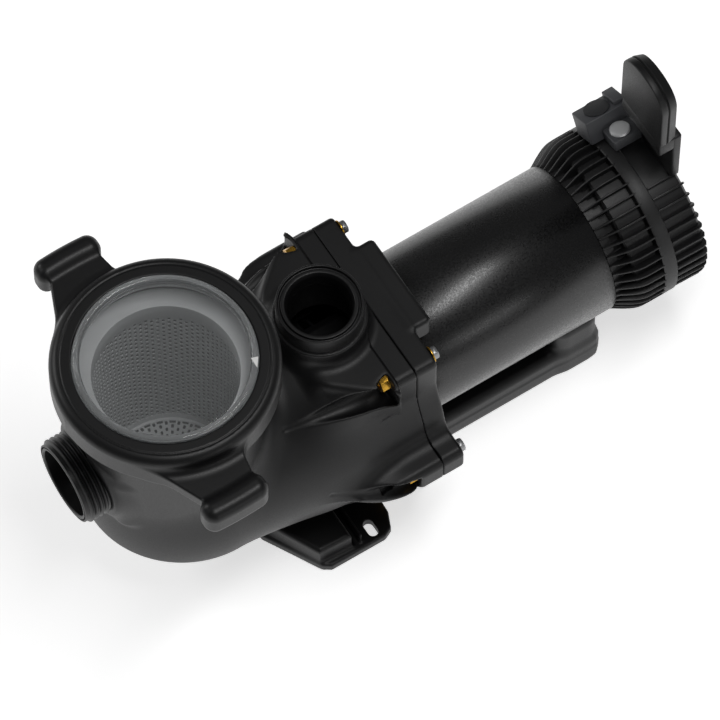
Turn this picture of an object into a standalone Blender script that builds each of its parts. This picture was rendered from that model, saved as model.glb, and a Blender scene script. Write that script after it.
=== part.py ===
"""Swimming-pool pump: strainer housing, wet end, fan-cooled motor, control and base.

Metres, +Z up, +X from the strainer towards the motor. The origin is on the ground,
midway between the two mounting slots of the base.
"""
from math import cos, pi, radians, sin, sqrt

import bmesh
import bpy
from mathutils import Matrix, Vector

# ---------------------------------------------------------------- driving sizes
GAP = 0.0003                    # clearance between pieces that touch

AXIS_Z = 0.150                  # pump shaft above the ground
STRAINER_X = -0.168             # strainer axis, from the line of the base slots
SUCTION_REACH = 0.123           # strainer axis to the suction face
SUCTION_RISE = 0.097            # suction axis above the shaft
DISCHARGE_REACH = 0.1785        # strainer axis to the discharge axis
DISCHARGE_TOP = 0.1724          # discharge face above the shaft
FLANGE_REACH = 0.204            # strainer axis to the front of the bolted flange
FLANGE_FRONT = 0.026            # housing's share of the flange
FLANGE_BACK = 0.025             # seal plate's share of the flange
MOTOR_LENGTH = 0.228
MOTOR_RADIUS = 0.08255
WALL = 0.006                    # moulded housing wall

BOWL_RADIUS = 0.104
BOWL_FOOT_RADIUS = 0.088
BOWL_TOP = 0.226                # bowl rim above the shaft
BOWL_LEDGE = 0.018              # rim down to the basket ledge
ELBOW_RADIUS = 0.1055
ELBOW_SHIFT = 0.020
BARREL_END_RADIUS = 0.1395
FLANGE_HALF_HEIGHT = 0.127
VOLUTE_RADIUS = 0.108

SUCTION_BORE = 0.037
SUCTION_THREAD = 0.0465
DISCHARGE_BORE = 0.033
DISCHARGE_LIP = 0.0445
DISCHARGE_COLLAR = 0.048

BOLT_PLACES = ((0.084, 0.118), (0.135, -0.004), (0.084, -0.117))    # each mirrored to -Y
BOLT_RADIUS = 0.004
BOLT_HEAD = 0.0075
NUT_RADIUS = 0.0085
NUT_LENGTH = 0.008
LOBE_RADIUS = 0.016

COVER_RADIUS = 0.1015
COVER_WINDOW = 0.0915
RING_RADIUS = 0.1145
RING_HANDLE_REACH = 0.170
GRIP_LENGTH = 0.072
GRIP_WIDTH = 0.026
GRIP_HEIGHT = 0.038
ARM_THICKNESS = 0.016
BASKET_RADIUS = 0.076
BASKET_DEPTH = 0.235
BASKET_WALL = 0.0025

SHAFT_RADIUS = 0.0095
IMPELLER_RADIUS = 0.064
BEARING_RADIUS = 0.026
BEARING_WIDTH = 0.015

FIN_COUNT = 48
FIN_THICKNESS = 0.0022
FIN_RADIUS = 0.097
FIN_ROOT = 0.084
FIN_LENGTH = 0.0617
BAND_LENGTH = 0.015
FAN_COVER_LENGTH = 0.030

FOOT_HALF_WIDTH = 0.127
SLOT_Y = 0.111
SLOT_HALF_WIDTH = 0.0055
SLOT_LENGTH = 0.020
FOOT_THICKNESS = 0.012
RAIL_HALF_WIDTH = 0.063
RAIL_HEIGHT = 0.042

PANEL_HALF_WIDTH = 0.036
PANEL_SIDE_TOP = 0.235          # above the shaft
PANEL_CROWN = 0.030
PANEL_BOTTOM = 0.172
PANEL_THICKNESS = 0.020

THREAD_LENGTH = 0.028           # male thread on the suction port
SUCTION_NECK = 0.053
LIP_HEIGHT = 0.022              # thinner top of the discharge collar
FLANGE_DISC = 0.121
POCKET_LENGTH = 0.060           # scooped pocket in front of each nut
POCKET_RADIUS = 0.0125
BOLT_HEAD_LENGTH = 0.006
WASHER_ROOM = 0.0016
BOWL_LIP = 0.009
LEDGE_WIDTH = 0.006
COVER_RISE = 0.016              # window rim above the underside of the cover's flange
RING_SKIRT = 0.022
GRIP_SHIFT = -0.018             # grips sit towards the suction side of the strainer axis
BASKET_TAPER = 0.006

DRAIN_RADIUS = 0.008
DRAIN_BOSS = 0.012
STRAINER_DRAIN_DROP = 0.070
VOLUTE_DRAIN_DROP = 0.085

EYE_WALL = 0.008
EYE_RADIUS = 0.031
SNOUT_SEAL = 0.0025
IMPELLER_EYE = 0.0265
IMPELLER_DEPTH = 0.034
SHAFT_NOSE = 0.008
SCREW_HOLE = 0.0035
SEAT_RADIUS = 0.0215
SEAT_DEPTH = 0.009
SPIGOT_LENGTH = 0.010
SPIGOT_INNER = 0.098
OVERHANG = 0.021                # top of the seal plate beyond its flange
SLINGER_ROOM = 0.011
SHELL_WALL = 0.0025

DRUM_INNER = 0.078
BAND_RADIUS = 0.0965
FIN_RISE = 0.033                # length over which the fins climb from the shell
REAR_ROOT = 0.088
BARE_ANGLES = (45, 110)         # no fins here on the fan cover, in degrees from +Y
FAN_RADIUS = 0.070

BOX_LENGTH = 0.051
BOX_TOP = 0.125                 # above the shaft, along the lean
BOX_LEAN = 30.0                 # degrees from upright, towards +Y
BOX_LEFT = -0.0125              # sideways from the lean line
BOX_RIGHT = 0.0175
BOX_WALL = 0.003
PLUG_BORE = 0.0100
PLUG_HEAD = 0.0140
PAD_TOP = 0.110
PAD_LEAN = 18.0
PAD_PLUG = 0.0145                # start of the pad to the metal plug
NECK_SETBACK = 0.0172
NECK_THICKNESS = 0.0105
CORBEL_HEIGHT = 0.022
ARCH_POWER = 2.2
PANEL_BACK = 0.008
PANEL_WALL = 0.0028
SEAM = 0.0012
DISPLAY_RISE = 0.228
KEYPAD_RISE = 0.196

SCREW_RADIUS = 0.003
PEDESTAL_HEIGHT = 0.036
CRADLE_LENGTH = 0.055
CRADLE_HEIGHT = 0.088
CRADLE_PAD = 0.003

# ---------------------------------------------------------------- derived places
FLANGE_X = STRAINER_X + FLANGE_REACH
SPLIT_X = FLANGE_X + FLANGE_FRONT
PLATE_X = SPLIT_X + FLANGE_BACK
MOTOR_END_X = PLATE_X + MOTOR_LENGTH
BAND_X = MOTOR_END_X + FIN_LENGTH
COVER_X = BAND_X + BAND_LENGTH
REAR_X = COVER_X + FAN_COVER_LENGTH
RIM_Z = AXIS_Z + BOWL_TOP
DISCHARGE_X = STRAINER_X + DISCHARGE_REACH
EYE_X = DISCHARGE_X - DISCHARGE_BORE - 0.012        # back of the wall with the impeller eye
IMPELLER_X = SPLIT_X - 0.030                        # back of the impeller hub
SEAT_X = SPLIT_X - 0.010                            # front of the stationary seat
HUB_FRONT = IMPELLER_X - IMPELLER_DEPTH + 0.004
NOSE_X = HUB_FRONT + 0.0065                         # front end of the shaft
SHELL_INNER = MOTOR_RADIUS - SHELL_WALL
FRONT_BEARING_X = PLATE_X + 0.0155
REAR_BEARING_X = MOTOR_END_X + 0.001
FAN_X = REAR_BEARING_X + BEARING_WIDTH + 0.011
BOX_X = BAND_X - 0.0145
PAD_X = BAND_X
RAIL_END_X = MOTOR_END_X - 0.002
PANEL_X = COVER_X + GAP                             # front of the upright panel
LEDGE_Z = RIM_Z - BOWL_LEDGE
COVER_Z = RIM_Z + 0.0045                            # underside of the cover's flange

AXES = {
    "X": Matrix(((0, 0, 1), (1, 0, 0), (0, 1, 0))),
    "Y": Matrix(((0, 1, 0), (0, 0, 1), (1, 0, 0))),
    "Z": Matrix.Identity(3),
}


# ---------------------------------------------------------------- modelling helpers
def start_collections():
    for obj in list(bpy.data.objects):
        bpy.data.objects.remove(obj, do_unlink=True)
    made = []
    for name in ("pool_pump", "cutters"):
        group = bpy.data.collections.new(name)
        bpy.context.scene.collection.children.link(group)
        made.append(group)
    return made


PARTS, CUTTERS = start_collections()


def finish(name, colour, roughness, metallic=0.0, alpha=1.0):
    """A plain material in linear colour."""
    made = bpy.data.materials.new(name)
    made.use_nodes = True
    shader = made.node_tree.nodes["Principled BSDF"]
    shader.inputs["Base Color"].default_value = (*colour, 1.0)
    shader.inputs["Roughness"].default_value = roughness
    shader.inputs["Metallic"].default_value = metallic
    shader.inputs["Alpha"].default_value = alpha
    return made


BLACK_PLASTIC = finish("black_moulded_plastic", (0.012, 0.012, 0.013), 0.45)
DARK_PLASTIC = finish("dark_grey_plastic", (0.035, 0.036, 0.038), 0.5)
CLEAR_PLASTIC = finish("clear_polycarbonate", (0.9, 0.92, 0.93), 0.08, alpha=0.25)
WHITE_PLASTIC = finish("light_grey_plastic", (0.55, 0.56, 0.56), 0.5)
BLACK_PAINT = finish("black_painted_steel", (0.010, 0.010, 0.011), 0.35)
CAST_ALLOY = finish("black_die_casting", (0.014, 0.014, 0.015), 0.5)
STEEL = finish("stainless_steel", (0.42, 0.42, 0.41), 0.3, 1.0)
BRASS = finish("yellow_brass", (0.56, 0.35, 0.08), 0.3, 1.0)
RUBBER = finish("black_rubber", (0.02, 0.02, 0.02), 0.8)
CARBON = finish("seal_carbon", (0.03, 0.03, 0.032), 0.4)
CERAMIC = finish("seal_ceramic", (0.75, 0.74, 0.70), 0.25)
COPPER = finish("winding_copper", (0.60, 0.22, 0.08), 0.4, 1.0)
LAMINATION = finish("steel_lamination", (0.18, 0.18, 0.19), 0.5, 1.0)
GREEN_BOARD = finish("circuit_board", (0.02, 0.10, 0.04), 0.5)


def shape(mesh, at=(0, 0, 0), axis="Z", tilt=0.0):
    """A guide object whose local Z lies along the axis; tilt turns it about world X."""
    obj = bpy.data.objects.new("shape", mesh)
    turn = Matrix.Rotation(tilt, 3, "X") @ AXES[axis]
    obj.location = at
    obj.rotation_euler = turn.to_euler()
    obj.hide_render = True
    obj.display_type = "WIRE"
    CUTTERS.objects.link(obj)
    return obj


def piece(obj, name, look):
    """Make a guide object a named sub-part."""
    CUTTERS.objects.unlink(obj)
    PARTS.objects.link(obj)
    obj.name = name
    obj.data.name = name
    obj.data.materials.clear()
    obj.data.materials.append(look)
    obj.hide_render = False
    obj.display_type = "TEXTURED"
    return obj


def turned(profile, at=(0, 0, 0), axis="Z", steps=32, ring=True):
    """Turn (radius, height) points about the axis: down the outer side, up the inner."""
    mesh = bpy.data.meshes.new("turned")
    count = len(profile)
    edges = [(i, i + 1) for i in range(count - 1)] + ([(count - 1, 0)] if ring else [])
    mesh.from_pydata([(r, 0, h) for r, h in profile], edges, [])
    obj = shape(mesh, at, axis)
    screw = obj.modifiers.new("turn", "SCREW")
    screw.angle = 2 * pi
    screw.steps = screw.render_steps = steps
    screw.use_merge_vertices = True
    screw.merge_threshold = 0.00001
    return obj


def rod(radius, length, at, axis="Z", sides=32, end_radius=None):
    """A cylinder or cone that starts at a point and runs along the axis."""
    build = bmesh.new()
    top = radius if end_radius is None else end_radius
    bmesh.ops.create_cone(build, cap_ends=True, segments=sides, radius1=radius, radius2=top,
                          depth=length, matrix=Matrix.Translation((0, 0, length / 2)))
    mesh = bpy.data.meshes.new("rod")
    build.to_mesh(mesh)
    build.free()
    return shape(mesh, at, axis)


def block(low, high, rounding=0.0, segments=2, tilt=0.0, about=(0, 0, 0)):
    """A box between two corners, which may be rounded and tilted about an X line."""
    build = bmesh.new()
    middle = [(a + b) / 2 for a, b in zip(low, high)]
    size = [b - a for a, b in zip(low, high)]
    offset = Vector(middle) - Vector(about)
    bmesh.ops.create_cube(build, size=1.0, matrix=Matrix.Translation(offset)
                          @ Matrix.Diagonal((*size, 1.0)))
    mesh = bpy.data.meshes.new("block")
    build.to_mesh(mesh)
    build.free()
    obj = shape(mesh, about, tilt=tilt)
    if rounding:
        bevel = obj.modifiers.new("round", "BEVEL")
        bevel.width = rounding
        bevel.segments = segments
    return obj


def prism(outlines, thickness, at=(0, 0, 0), axis="Z"):
    """Flat outlines, the later ones holes in the first, raised along the axis from a point."""
    curve = bpy.data.curves.new("outline", "CURVE")
    curve.dimensions = "2D"
    curve.fill_mode = "BOTH"
    curve.extrude = thickness / 2
    for outline in outlines:
        spline = curve.splines.new("POLY")
        spline.points.add(len(outline) - 1)
        for point, (u, v) in zip(spline.points, outline):
            point.co = (u, v, 0, 1)
        spline.use_cyclic_u = True
    return as_mesh(curve, at, axis, thickness / 2)


def as_mesh(curve, at, axis, lift=0.0):
    """Turn a curve into a closed mesh with welded caps."""
    guide = bpy.data.objects.new("curve", curve)
    CUTTERS.objects.link(guide)
    bpy.context.view_layer.update()
    evaluated = guide.evaluated_get(bpy.context.evaluated_depsgraph_get())
    mesh = bpy.data.meshes.new_from_object(evaluated)
    build = bmesh.new()
    build.from_mesh(mesh)
    bmesh.ops.remove_doubles(build, verts=build.verts, dist=0.00001)
    bmesh.ops.translate(build, verts=build.verts, vec=(0, 0, lift))
    bmesh.ops.recalc_face_normals(build, faces=build.faces)
    build.to_mesh(mesh)
    build.free()
    bpy.data.objects.remove(guide, do_unlink=True)
    return shape(mesh, at, axis)


def combine(base, others, operation):
    for other in others:
        step = base.modifiers.new(operation.lower(), "BOOLEAN")
        step.operation = operation
        step.solver = "EXACT"
        step.object = other
    return base


def join(base, *others):
    return combine(base, others, "UNION")


def cut(base, *others):
    return combine(base, others, "DIFFERENCE")


def keep(base, *others):
    return combine(base, others, "INTERSECT")


def arc(centre, radius, start, end, steps):
    """Points on an arc, in degrees from +u towards +v."""
    angles = [radians(start + (end - start) * i / steps) for i in range(steps + 1)]
    return [(centre[0] + radius * cos(a), centre[1] + radius * sin(a)) for a in angles]


def circle(radius, sides=32, centre=(0, 0)):
    return arc(centre, radius, 0, 360 - 360 / sides, sides - 1)


def ring_profile(outer, inner, low, high):
    return [(outer, high), (outer, low), (inner, low), (inner, high)]


def rounded(half_u, half_v, radius, steps=4):
    """A rectangle with round corners, centred on the origin."""
    u, v = half_u - radius, half_v - radius
    corners = (((u, v), 0), ((-u, v), 90), ((-u, -v), 180), ((u, -v), 270))
    return [point for centre, start in corners for point in arc(centre, radius, start, start + 90, steps)]


def o_ring(major, minor, at, axis="Z", steps=32):
    """A seal ring of round section."""
    return turned([(major + u, v) for u, v in reversed(circle(minor, 6))], at, axis, steps)


def bolt_points():
    """Every bolt's (y, z), three on each side."""
    return [(side * y, AXIS_Z + z) for side in (-1, 1) for y, z in BOLT_PLACES]


def drain_points():
    """Each drain's (x, face y, z): one under the strainer and one under the volute."""
    places = []
    for x, drop in ((STRAINER_X + ELBOW_SHIFT, STRAINER_DRAIN_DROP),
                    (DISCHARGE_X - 0.010, VOLUTE_DRAIN_DROP)):
        face = sqrt(barrel_radius(x) ** 2 - drop ** 2) + DRAIN_BOSS
        places.append((x, face, AXIS_Z - drop))
    return places


# ---------------------------------------------------------------- housing
def in_flange(u, v):
    """Whether a point lies in the flange's tall plate, disc or cross bar."""
    side_y, side_z = BOLT_PLACES[1]
    plate = (BOLT_PLACES[0][0] + LOBE_RADIUS - 0.001, FLANGE_HALF_HEIGHT, 0.013, 0.0)
    bar = (side_y + LOBE_RADIUS, LOBE_RADIUS, 0.012, side_z)
    for half_u, half_v, corner, centre_v in (plate, bar):
        over_u = max(abs(u) - half_u + corner, 0.0)
        over_v = max(abs(v - centre_v) - half_v + corner, 0.0)
        if over_u ** 2 + over_v ** 2 <= corner ** 2:
            return True
    return u ** 2 + v ** 2 <= FLANGE_DISC ** 2


def flange_outline(steps=80):
    """The six-lobed outline, found along one ray after another from the shaft."""
    points = []
    for i in range(steps):
        angle = 2 * pi * i / steps
        near, far = FLANGE_DISC - 0.01, 2 * FLANGE_DISC
        for _ in range(24):
            middle = (near + far) / 2
            if in_flange(middle * cos(angle), middle * sin(angle)):
                near = middle
            else:
                far = middle
        points.append((near * cos(angle), near * sin(angle)))
    return [b for a, b, c in zip(points[-1:] + points, points, points[1:] + points[:1])
            if abs((b[0] - a[0]) * (c[1] - b[1]) - (b[1] - a[1]) * (c[0] - b[0])) > 1e-8]


def flange(start, length):
    return prism([flange_outline()], length, (start, 0, AXIS_Z), "X")


def barrel_radius(x):
    """Outer radius of the barrel, which flares towards the flange."""
    start = STRAINER_X + ELBOW_SHIFT
    share = max(0.0, (x - start) / (FLANGE_X - start))
    return ELBOW_RADIUS + (BARREL_END_RADIUS - ELBOW_RADIUS) * share ** 1.5


def barrel_solid(offset, end_x, steps=32):
    """Elbow sphere and flared barrel as one turned solid, inset by an offset."""
    start = STRAINER_X + ELBOW_SHIFT
    stations = 4
    places = [end_x - (end_x - start) * i / stations for i in range(stations + 1)]
    profile = [(0, end_x)] + [(barrel_radius(x) - offset, x) for x in places]
    nose = 5
    radius = ELBOW_RADIUS - offset
    for i in range(1, nose):
        angle = pi / 2 * i / nose
        profile.append((radius * cos(angle), start - radius * sin(angle)))
    profile.append((0, start - radius))
    return turned(profile, (0, 0, AXIS_Z), "X", steps, ring=False)


def bowl_solid():
    foot = AXIS_Z - 0.020
    return turned([(0, RIM_Z), (BOWL_RADIUS, RIM_Z), (BOWL_RADIUS, RIM_Z - 0.040),
                   (BOWL_RADIUS - 0.004, RIM_Z - 0.048), (BOWL_FOOT_RADIUS, foot), (0, foot)],
                  (STRAINER_X, 0, 0), ring=False)


def bowl_well():
    """The strainer's cavity, with the ledge that carries the basket."""
    mouth = BOWL_RADIUS - BOWL_LIP
    return turned([(0, RIM_Z + 0.001), (mouth, RIM_Z + 0.001), (mouth, LEDGE_Z),
                   (mouth - LEDGE_WIDTH, LEDGE_Z), (BOWL_FOOT_RADIUS - WALL, AXIS_Z), (0, AXIS_Z)],
                  (STRAINER_X, 0, 0), ring=False)


def pump_housing():
    flat = FLANGE_HALF_HEIGHT - 0.0005
    barrel = barrel_solid(0, FLANGE_X + 0.001)
    cut(barrel, block((STRAINER_X, -0.2, AXIS_Z + flat), (PLATE_X, 0.2, AXIS_Z + 0.3)))
    cut(barrel, block((STRAINER_X, -0.2, AXIS_Z - 0.3), (PLATE_X, 0.2, AXIS_Z - flat)))
    suction_z = AXIS_Z + SUCTION_RISE
    suction_x = STRAINER_X - SUCTION_REACH
    neck = rod(SUCTION_NECK, 0.06, (suction_x + THREAD_LENGTH, 0, suction_z), "X", 24)
    spigot = rod(SUCTION_THREAD, 0.07, (suction_x, 0, suction_z), "X", 24)
    step_z = AXIS_Z + DISCHARGE_TOP - LIP_HEIGHT
    collar = rod(DISCHARGE_COLLAR, step_z - AXIS_Z - 0.1, (DISCHARGE_X, 0, AXIS_Z + 0.1), sides=24)
    lip = rod(DISCHARGE_LIP, LIP_HEIGHT + 0.01, (DISCHARGE_X, 0, step_z - 0.01), sides=24)
    body = join(bowl_solid(), barrel, flange(FLANGE_X, FLANGE_FRONT), neck, spigot, collar, lip)
    for y, z in bolt_points():
        tip = (FLANGE_X - POCKET_LENGTH, y * 0.9, AXIS_Z + (z - AXIS_Z) * 0.9)
        join(body, rod(0.006, POCKET_LENGTH + 0.001, tip, "X", 12, LOBE_RADIUS - 0.0005))
    for x, face, z in drain_points():
        join(body, rod(DRAIN_RADIUS + WALL, 0.05, (x, face - 0.05, z), "Y", 12))

    chamber = barrel_solid(WALL, EYE_X - EYE_WALL, 24)
    volute = rod(VOLUTE_RADIUS, SPLIT_X - EYE_X + 0.001, (EYE_X, 0, AXIS_Z), "X", 24)
    eye = rod(EYE_RADIUS, EYE_WALL + 0.004, (EYE_X - EYE_WALL - 0.002, 0, AXIS_Z), "X", 24)
    inlet = rod(SUCTION_BORE, 0.08, (suction_x - 0.001, 0, suction_z), "X", 24)
    outlet = rod(DISCHARGE_BORE, 0.09, (DISCHARGE_X, 0, AXIS_Z + DISCHARGE_TOP - 0.089), sides=24)
    cut(body, bowl_well(), chamber, volute, eye, inlet, outlet)
    for y, z in bolt_points():
        cut(body, rod(BOLT_RADIUS + GAP, FLANGE_FRONT + 0.06, (FLANGE_X - 0.05, y, z), "X", 8))
        cut(body, rod(0.004, POCKET_LENGTH, (FLANGE_X - POCKET_LENGTH, y, z), "X", 12, POCKET_RADIUS))
    for x, face, z in drain_points():
        cut(body, rod(DRAIN_RADIUS + GAP, 0.052, (x, face - 0.051, z), "Y", 12))
    for x, y in base_screw_points():
        cut(body, rod(SCREW_RADIUS + GAP, 0.030, (x, y, 0.012), sides=8))
    return piece(body, "pump_housing", BLACK_PLASTIC)


def base_screw_points():
    return [(FLANGE_X + FLANGE_FRONT / 2, side * 0.040) for side in (-1, 1)]


def seal_plate():
    at = (0, 0, AXIS_Z)
    body = flange(SPLIT_X + GAP, FLANGE_BACK - GAP)
    groove = VOLUTE_RADIUS - 0.004
    rim = VOLUTE_RADIUS - 2 * GAP
    step = SPLIT_X - SPIGOT_LENGTH
    spigot = turned([(rim, SPLIT_X + 0.001), (rim, SPLIT_X - 0.0015), (groove, SPLIT_X - 0.0015),
                     (groove, SPLIT_X - 0.0065), (rim, SPLIT_X - 0.0065), (rim, step),
                     (SPIGOT_INNER, step), (SPIGOT_INNER, SPLIT_X + 0.001)], at, "X", 24)
    hub = rod(SEAT_RADIUS + 0.010, SPLIT_X - SEAT_X + 0.001, (SEAT_X, 0, AXIS_Z), "X", 20)
    register = turned(ring_profile(SHELL_INNER - GAP, SHELL_INNER - 0.008, PLATE_X - 0.002, PLATE_X + 0.006),
                      at, "X", 40)
    overhang = prism([rounded(0.055, 0.0145, 0.006)], OVERHANG + 0.002,
                     (PLATE_X - 0.002, 0, AXIS_Z + FLANGE_HALF_HEIGHT - 0.0145), "X")
    relief = turned(ring_profile(SHELL_INNER - 0.012, SEAT_RADIUS + 0.012, SPLIT_X + 0.010, PLATE_X + 0.001),
                    at, "X", 24)
    behind_hub = rod(SEAT_RADIUS + 0.013, 0.02, (PLATE_X - SLINGER_ROOM, 0, AXIS_Z), "X", 20)
    seat = rod(SEAT_RADIUS + GAP, SEAT_DEPTH + 0.001, (SEAT_X - 0.001, 0, AXIS_Z), "X", 20)
    hole = rod(SHAFT_RADIUS + 0.003, 0.1, (SEAT_X, 0, AXIS_Z), "X", 20)
    join(body, spigot, hub, register, overhang)
    cut(body, relief, behind_hub, seat, hole)
    for y, z in bolt_points():
        cut(body, rod(BOLT_RADIUS + GAP, FLANGE_BACK + 0.002, (SPLIT_X - 0.001, y, z), "X", 8))
    return piece(body, "seal_plate", BLACK_PLASTIC)


def housing_fasteners():
    """A steel bolt from behind and a brass nut in front, at every lobe."""
    for number, (y, z) in enumerate(bolt_points(), 1):
        head_x = PLATE_X + WASHER_ROOM
        tail_x = FLANGE_X - NUT_LENGTH - 0.002
        bolt = rod(BOLT_HEAD, BOLT_HEAD_LENGTH, (head_x, y, z), "X", 6)
        join(bolt, rod(BOLT_RADIUS, head_x - tail_x + 0.001, (tail_x, y, z), "X", 8))
        piece(bolt, f"housing_bolt_{number}", STEEL)
        nut = prism([circle(NUT_RADIUS, 6), circle(BOLT_RADIUS + GAP, 8)], NUT_LENGTH,
                    (FLANGE_X - GAP - NUT_LENGTH, y, z), "X")
        piece(nut, f"housing_nut_{number}", BRASS)


def housing_gasket():
    ring = ring_profile(VOLUTE_RADIUS - GAP, VOLUTE_RADIUS - 0.004 + GAP, SPLIT_X - 0.0062, SPLIT_X - 0.0018)
    return piece(turned(ring, (0, 0, AXIS_Z), "X", 24), "housing_gasket", RUBBER)


def drains():
    for name, (x, face, z) in zip(("strainer_drain", "volute_drain"), drain_points()):
        seal = 0.0022
        plug = rod(0.0115, 0.009, (x, face + seal, z), "Y", 6)
        join(plug, rod(DRAIN_RADIUS, 0.014 + seal, (x, face - 0.013, z), "Y", 12))
        piece(plug, f"{name}_plug", BLACK_PLASTIC)
        ring = ring_profile(0.0110, DRAIN_RADIUS + GAP, GAP, seal - GAP)
        piece(turned(ring, (x, face, z), "Y", 24), f"{name}_seal", RUBBER)


# ---------------------------------------------------------------- strainer
def strainer_cover():
    flange_top = COVER_Z + 0.006
    top = COVER_Z + COVER_RISE
    floor = top - 0.0045
    skirt = BOWL_RADIUS - BOWL_LIP - 0.0015
    profile = [(0, floor), (COVER_WINDOW - 0.0085, floor), (COVER_WINDOW - 0.0065, top),
               (COVER_WINDOW - 0.002, top), (COVER_WINDOW, top - 0.002), (COVER_WINDOW, flange_top),
               (COVER_RADIUS, flange_top), (COVER_RADIUS, COVER_Z), (skirt, COVER_Z),
               (skirt, COVER_Z - 0.008), (skirt - 0.0045, COVER_Z - 0.008),
               (skirt - 0.0065, floor - 0.0055), (0, floor - 0.0055)]
    return piece(turned(profile, (STRAINER_X, 0, 0), ring=False), "strainer_cover", CLEAR_PLASTIC)


def cover_seal():
    minor = (COVER_Z - RIM_Z) / 2 - GAP
    middle = (COVER_RADIUS + BOWL_RADIUS - BOWL_LIP) / 2
    ring = o_ring(middle, minor, (STRAINER_X, 0, (COVER_Z + RIM_Z) / 2))
    return piece(ring, "cover_o_ring", RUBBER)


def lock_ring():
    under = COVER_Z + 0.006 + GAP
    top = under + 0.006
    foot = RIM_Z - RING_SKIRT
    inner = BOWL_RADIUS + 0.0006
    window = COVER_WINDOW + 0.0008
    profile = [(RING_RADIUS - 0.007, top), (RING_RADIUS - 0.0025, top - 0.003),
               (RING_RADIUS, top - 0.010), (RING_RADIUS, foot + 0.003), (RING_RADIUS - 0.002, foot),
               (inner, foot), (inner, under), (window, under), (window, top - 0.001),
               (window + 0.0012, top)]
    body = turned(profile)
    body.location = (STRAINER_X, 0, 0)
    arm_top = RIM_Z + 0.003
    grip_inner = RING_HANDLE_REACH - GRIP_WIDTH
    grip_start = STRAINER_X + GRIP_SHIFT - GRIP_LENGTH / 2
    bore = rod(inner + 0.004, 0.05, (STRAINER_X, 0, arm_top - 0.03), sides=32)
    for side in (-1, 1):
        outline = [(-0.072, side * 0.080), (-0.050, side * (grip_inner + 0.004)),
                   (0.014, side * (grip_inner + 0.004)), (0.020, side * 0.080)]
        arm = prism([outline[::-side]], ARM_THICKNESS, (STRAINER_X, 0, arm_top - ARM_THICKNESS))
        near, far = sorted((side * RING_HANDLE_REACH, side * grip_inner))
        grip = block((grip_start, near, arm_top - GRIP_HEIGHT),
                     (grip_start + GRIP_LENGTH, far, arm_top), 0.007)
        join(body, cut(arm, bore), grip)
    return piece(body, "lock_ring", BLACK_PLASTIC)


def strainer_basket():
    top = LEDGE_Z + GAP + 0.003
    foot = LEDGE_Z - BASKET_DEPTH
    flange_radius = BOWL_RADIUS - BOWL_LIP - 0.0012
    foot_radius = BASKET_RADIUS - BASKET_TAPER
    wall = BASKET_WALL
    profile = [(flange_radius, top), (flange_radius, top - 0.003), (BASKET_RADIUS, top - 0.003),
               (foot_radius, foot), (0, foot), (0, foot + wall), (foot_radius - wall, foot + wall),
               (BASKET_RADIUS - wall, top)]
    body = turned(profile, (STRAINER_X, 0, 0))
    inlet = rod(SUCTION_BORE + 0.002, 0.06, (STRAINER_X - 0.10, 0, AXIS_Z + SUCTION_RISE), "X", 24)
    return piece(cut(body, inlet), "strainer_basket", WHITE_PLASTIC)


# ---------------------------------------------------------------- wet end
def diffuser():
    """Shroud over the impeller, with a snout in the eye wall and outlet windows in its rim."""
    at = (0, 0, AXIS_Z)
    front = IMPELLER_X - IMPELLER_DEPTH + 0.003
    snout_x = EYE_X - EYE_WALL + 0.001
    snout = EYE_RADIUS - SNOUT_SEAL
    rim = IMPELLER_RADIUS + 0.012
    bore = IMPELLER_EYE + 0.0008
    profile = [(rim, SPLIT_X - GAP), (rim, front), (snout, front - 0.004), (snout, snout_x),
               (bore, snout_x), (bore, front + 0.003), (rim - 0.003, front + 0.003),
               (rim - 0.003, SPLIT_X - GAP)]
    body = turned(profile, at, "X", 24)
    for i in range(6):
        angle = radians(60 * i + 30)
        window = block((front + 0.008, -0.012, rim - 0.02), (SPLIT_X - 0.006, 0.012, rim + 0.01))
        window.location = at
        window.rotation_euler = (angle, 0, 0)
        cut(body, window)
    return piece(body, "diffuser", BLACK_PLASTIC)


def diffuser_seal():
    inner = EYE_RADIUS - SNOUT_SEAL + GAP
    ring = ring_profile(EYE_RADIUS - GAP, inner, EYE_X - EYE_WALL + 0.002, EYE_X - EYE_WALL + 0.005)
    return piece(turned(ring, (0, 0, AXIS_Z), "X", 24), "diffuser_o_ring", RUBBER)


def vane(start_angle, inner, outer):
    """A backward-curved vane as a closed outline."""
    sides = []
    for lean in (0.0, 1.0):
        points = []
        for i in range(4):
            radius = inner + (outer - inner) * i / 3
            angle = start_angle - 1.1 * (radius - inner) / (outer - inner) + lean * 0.0024 / radius
            points.append((radius * cos(angle), radius * sin(angle)))
        sides.append(points)
    return sides[0][::-1] + sides[1]


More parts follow.
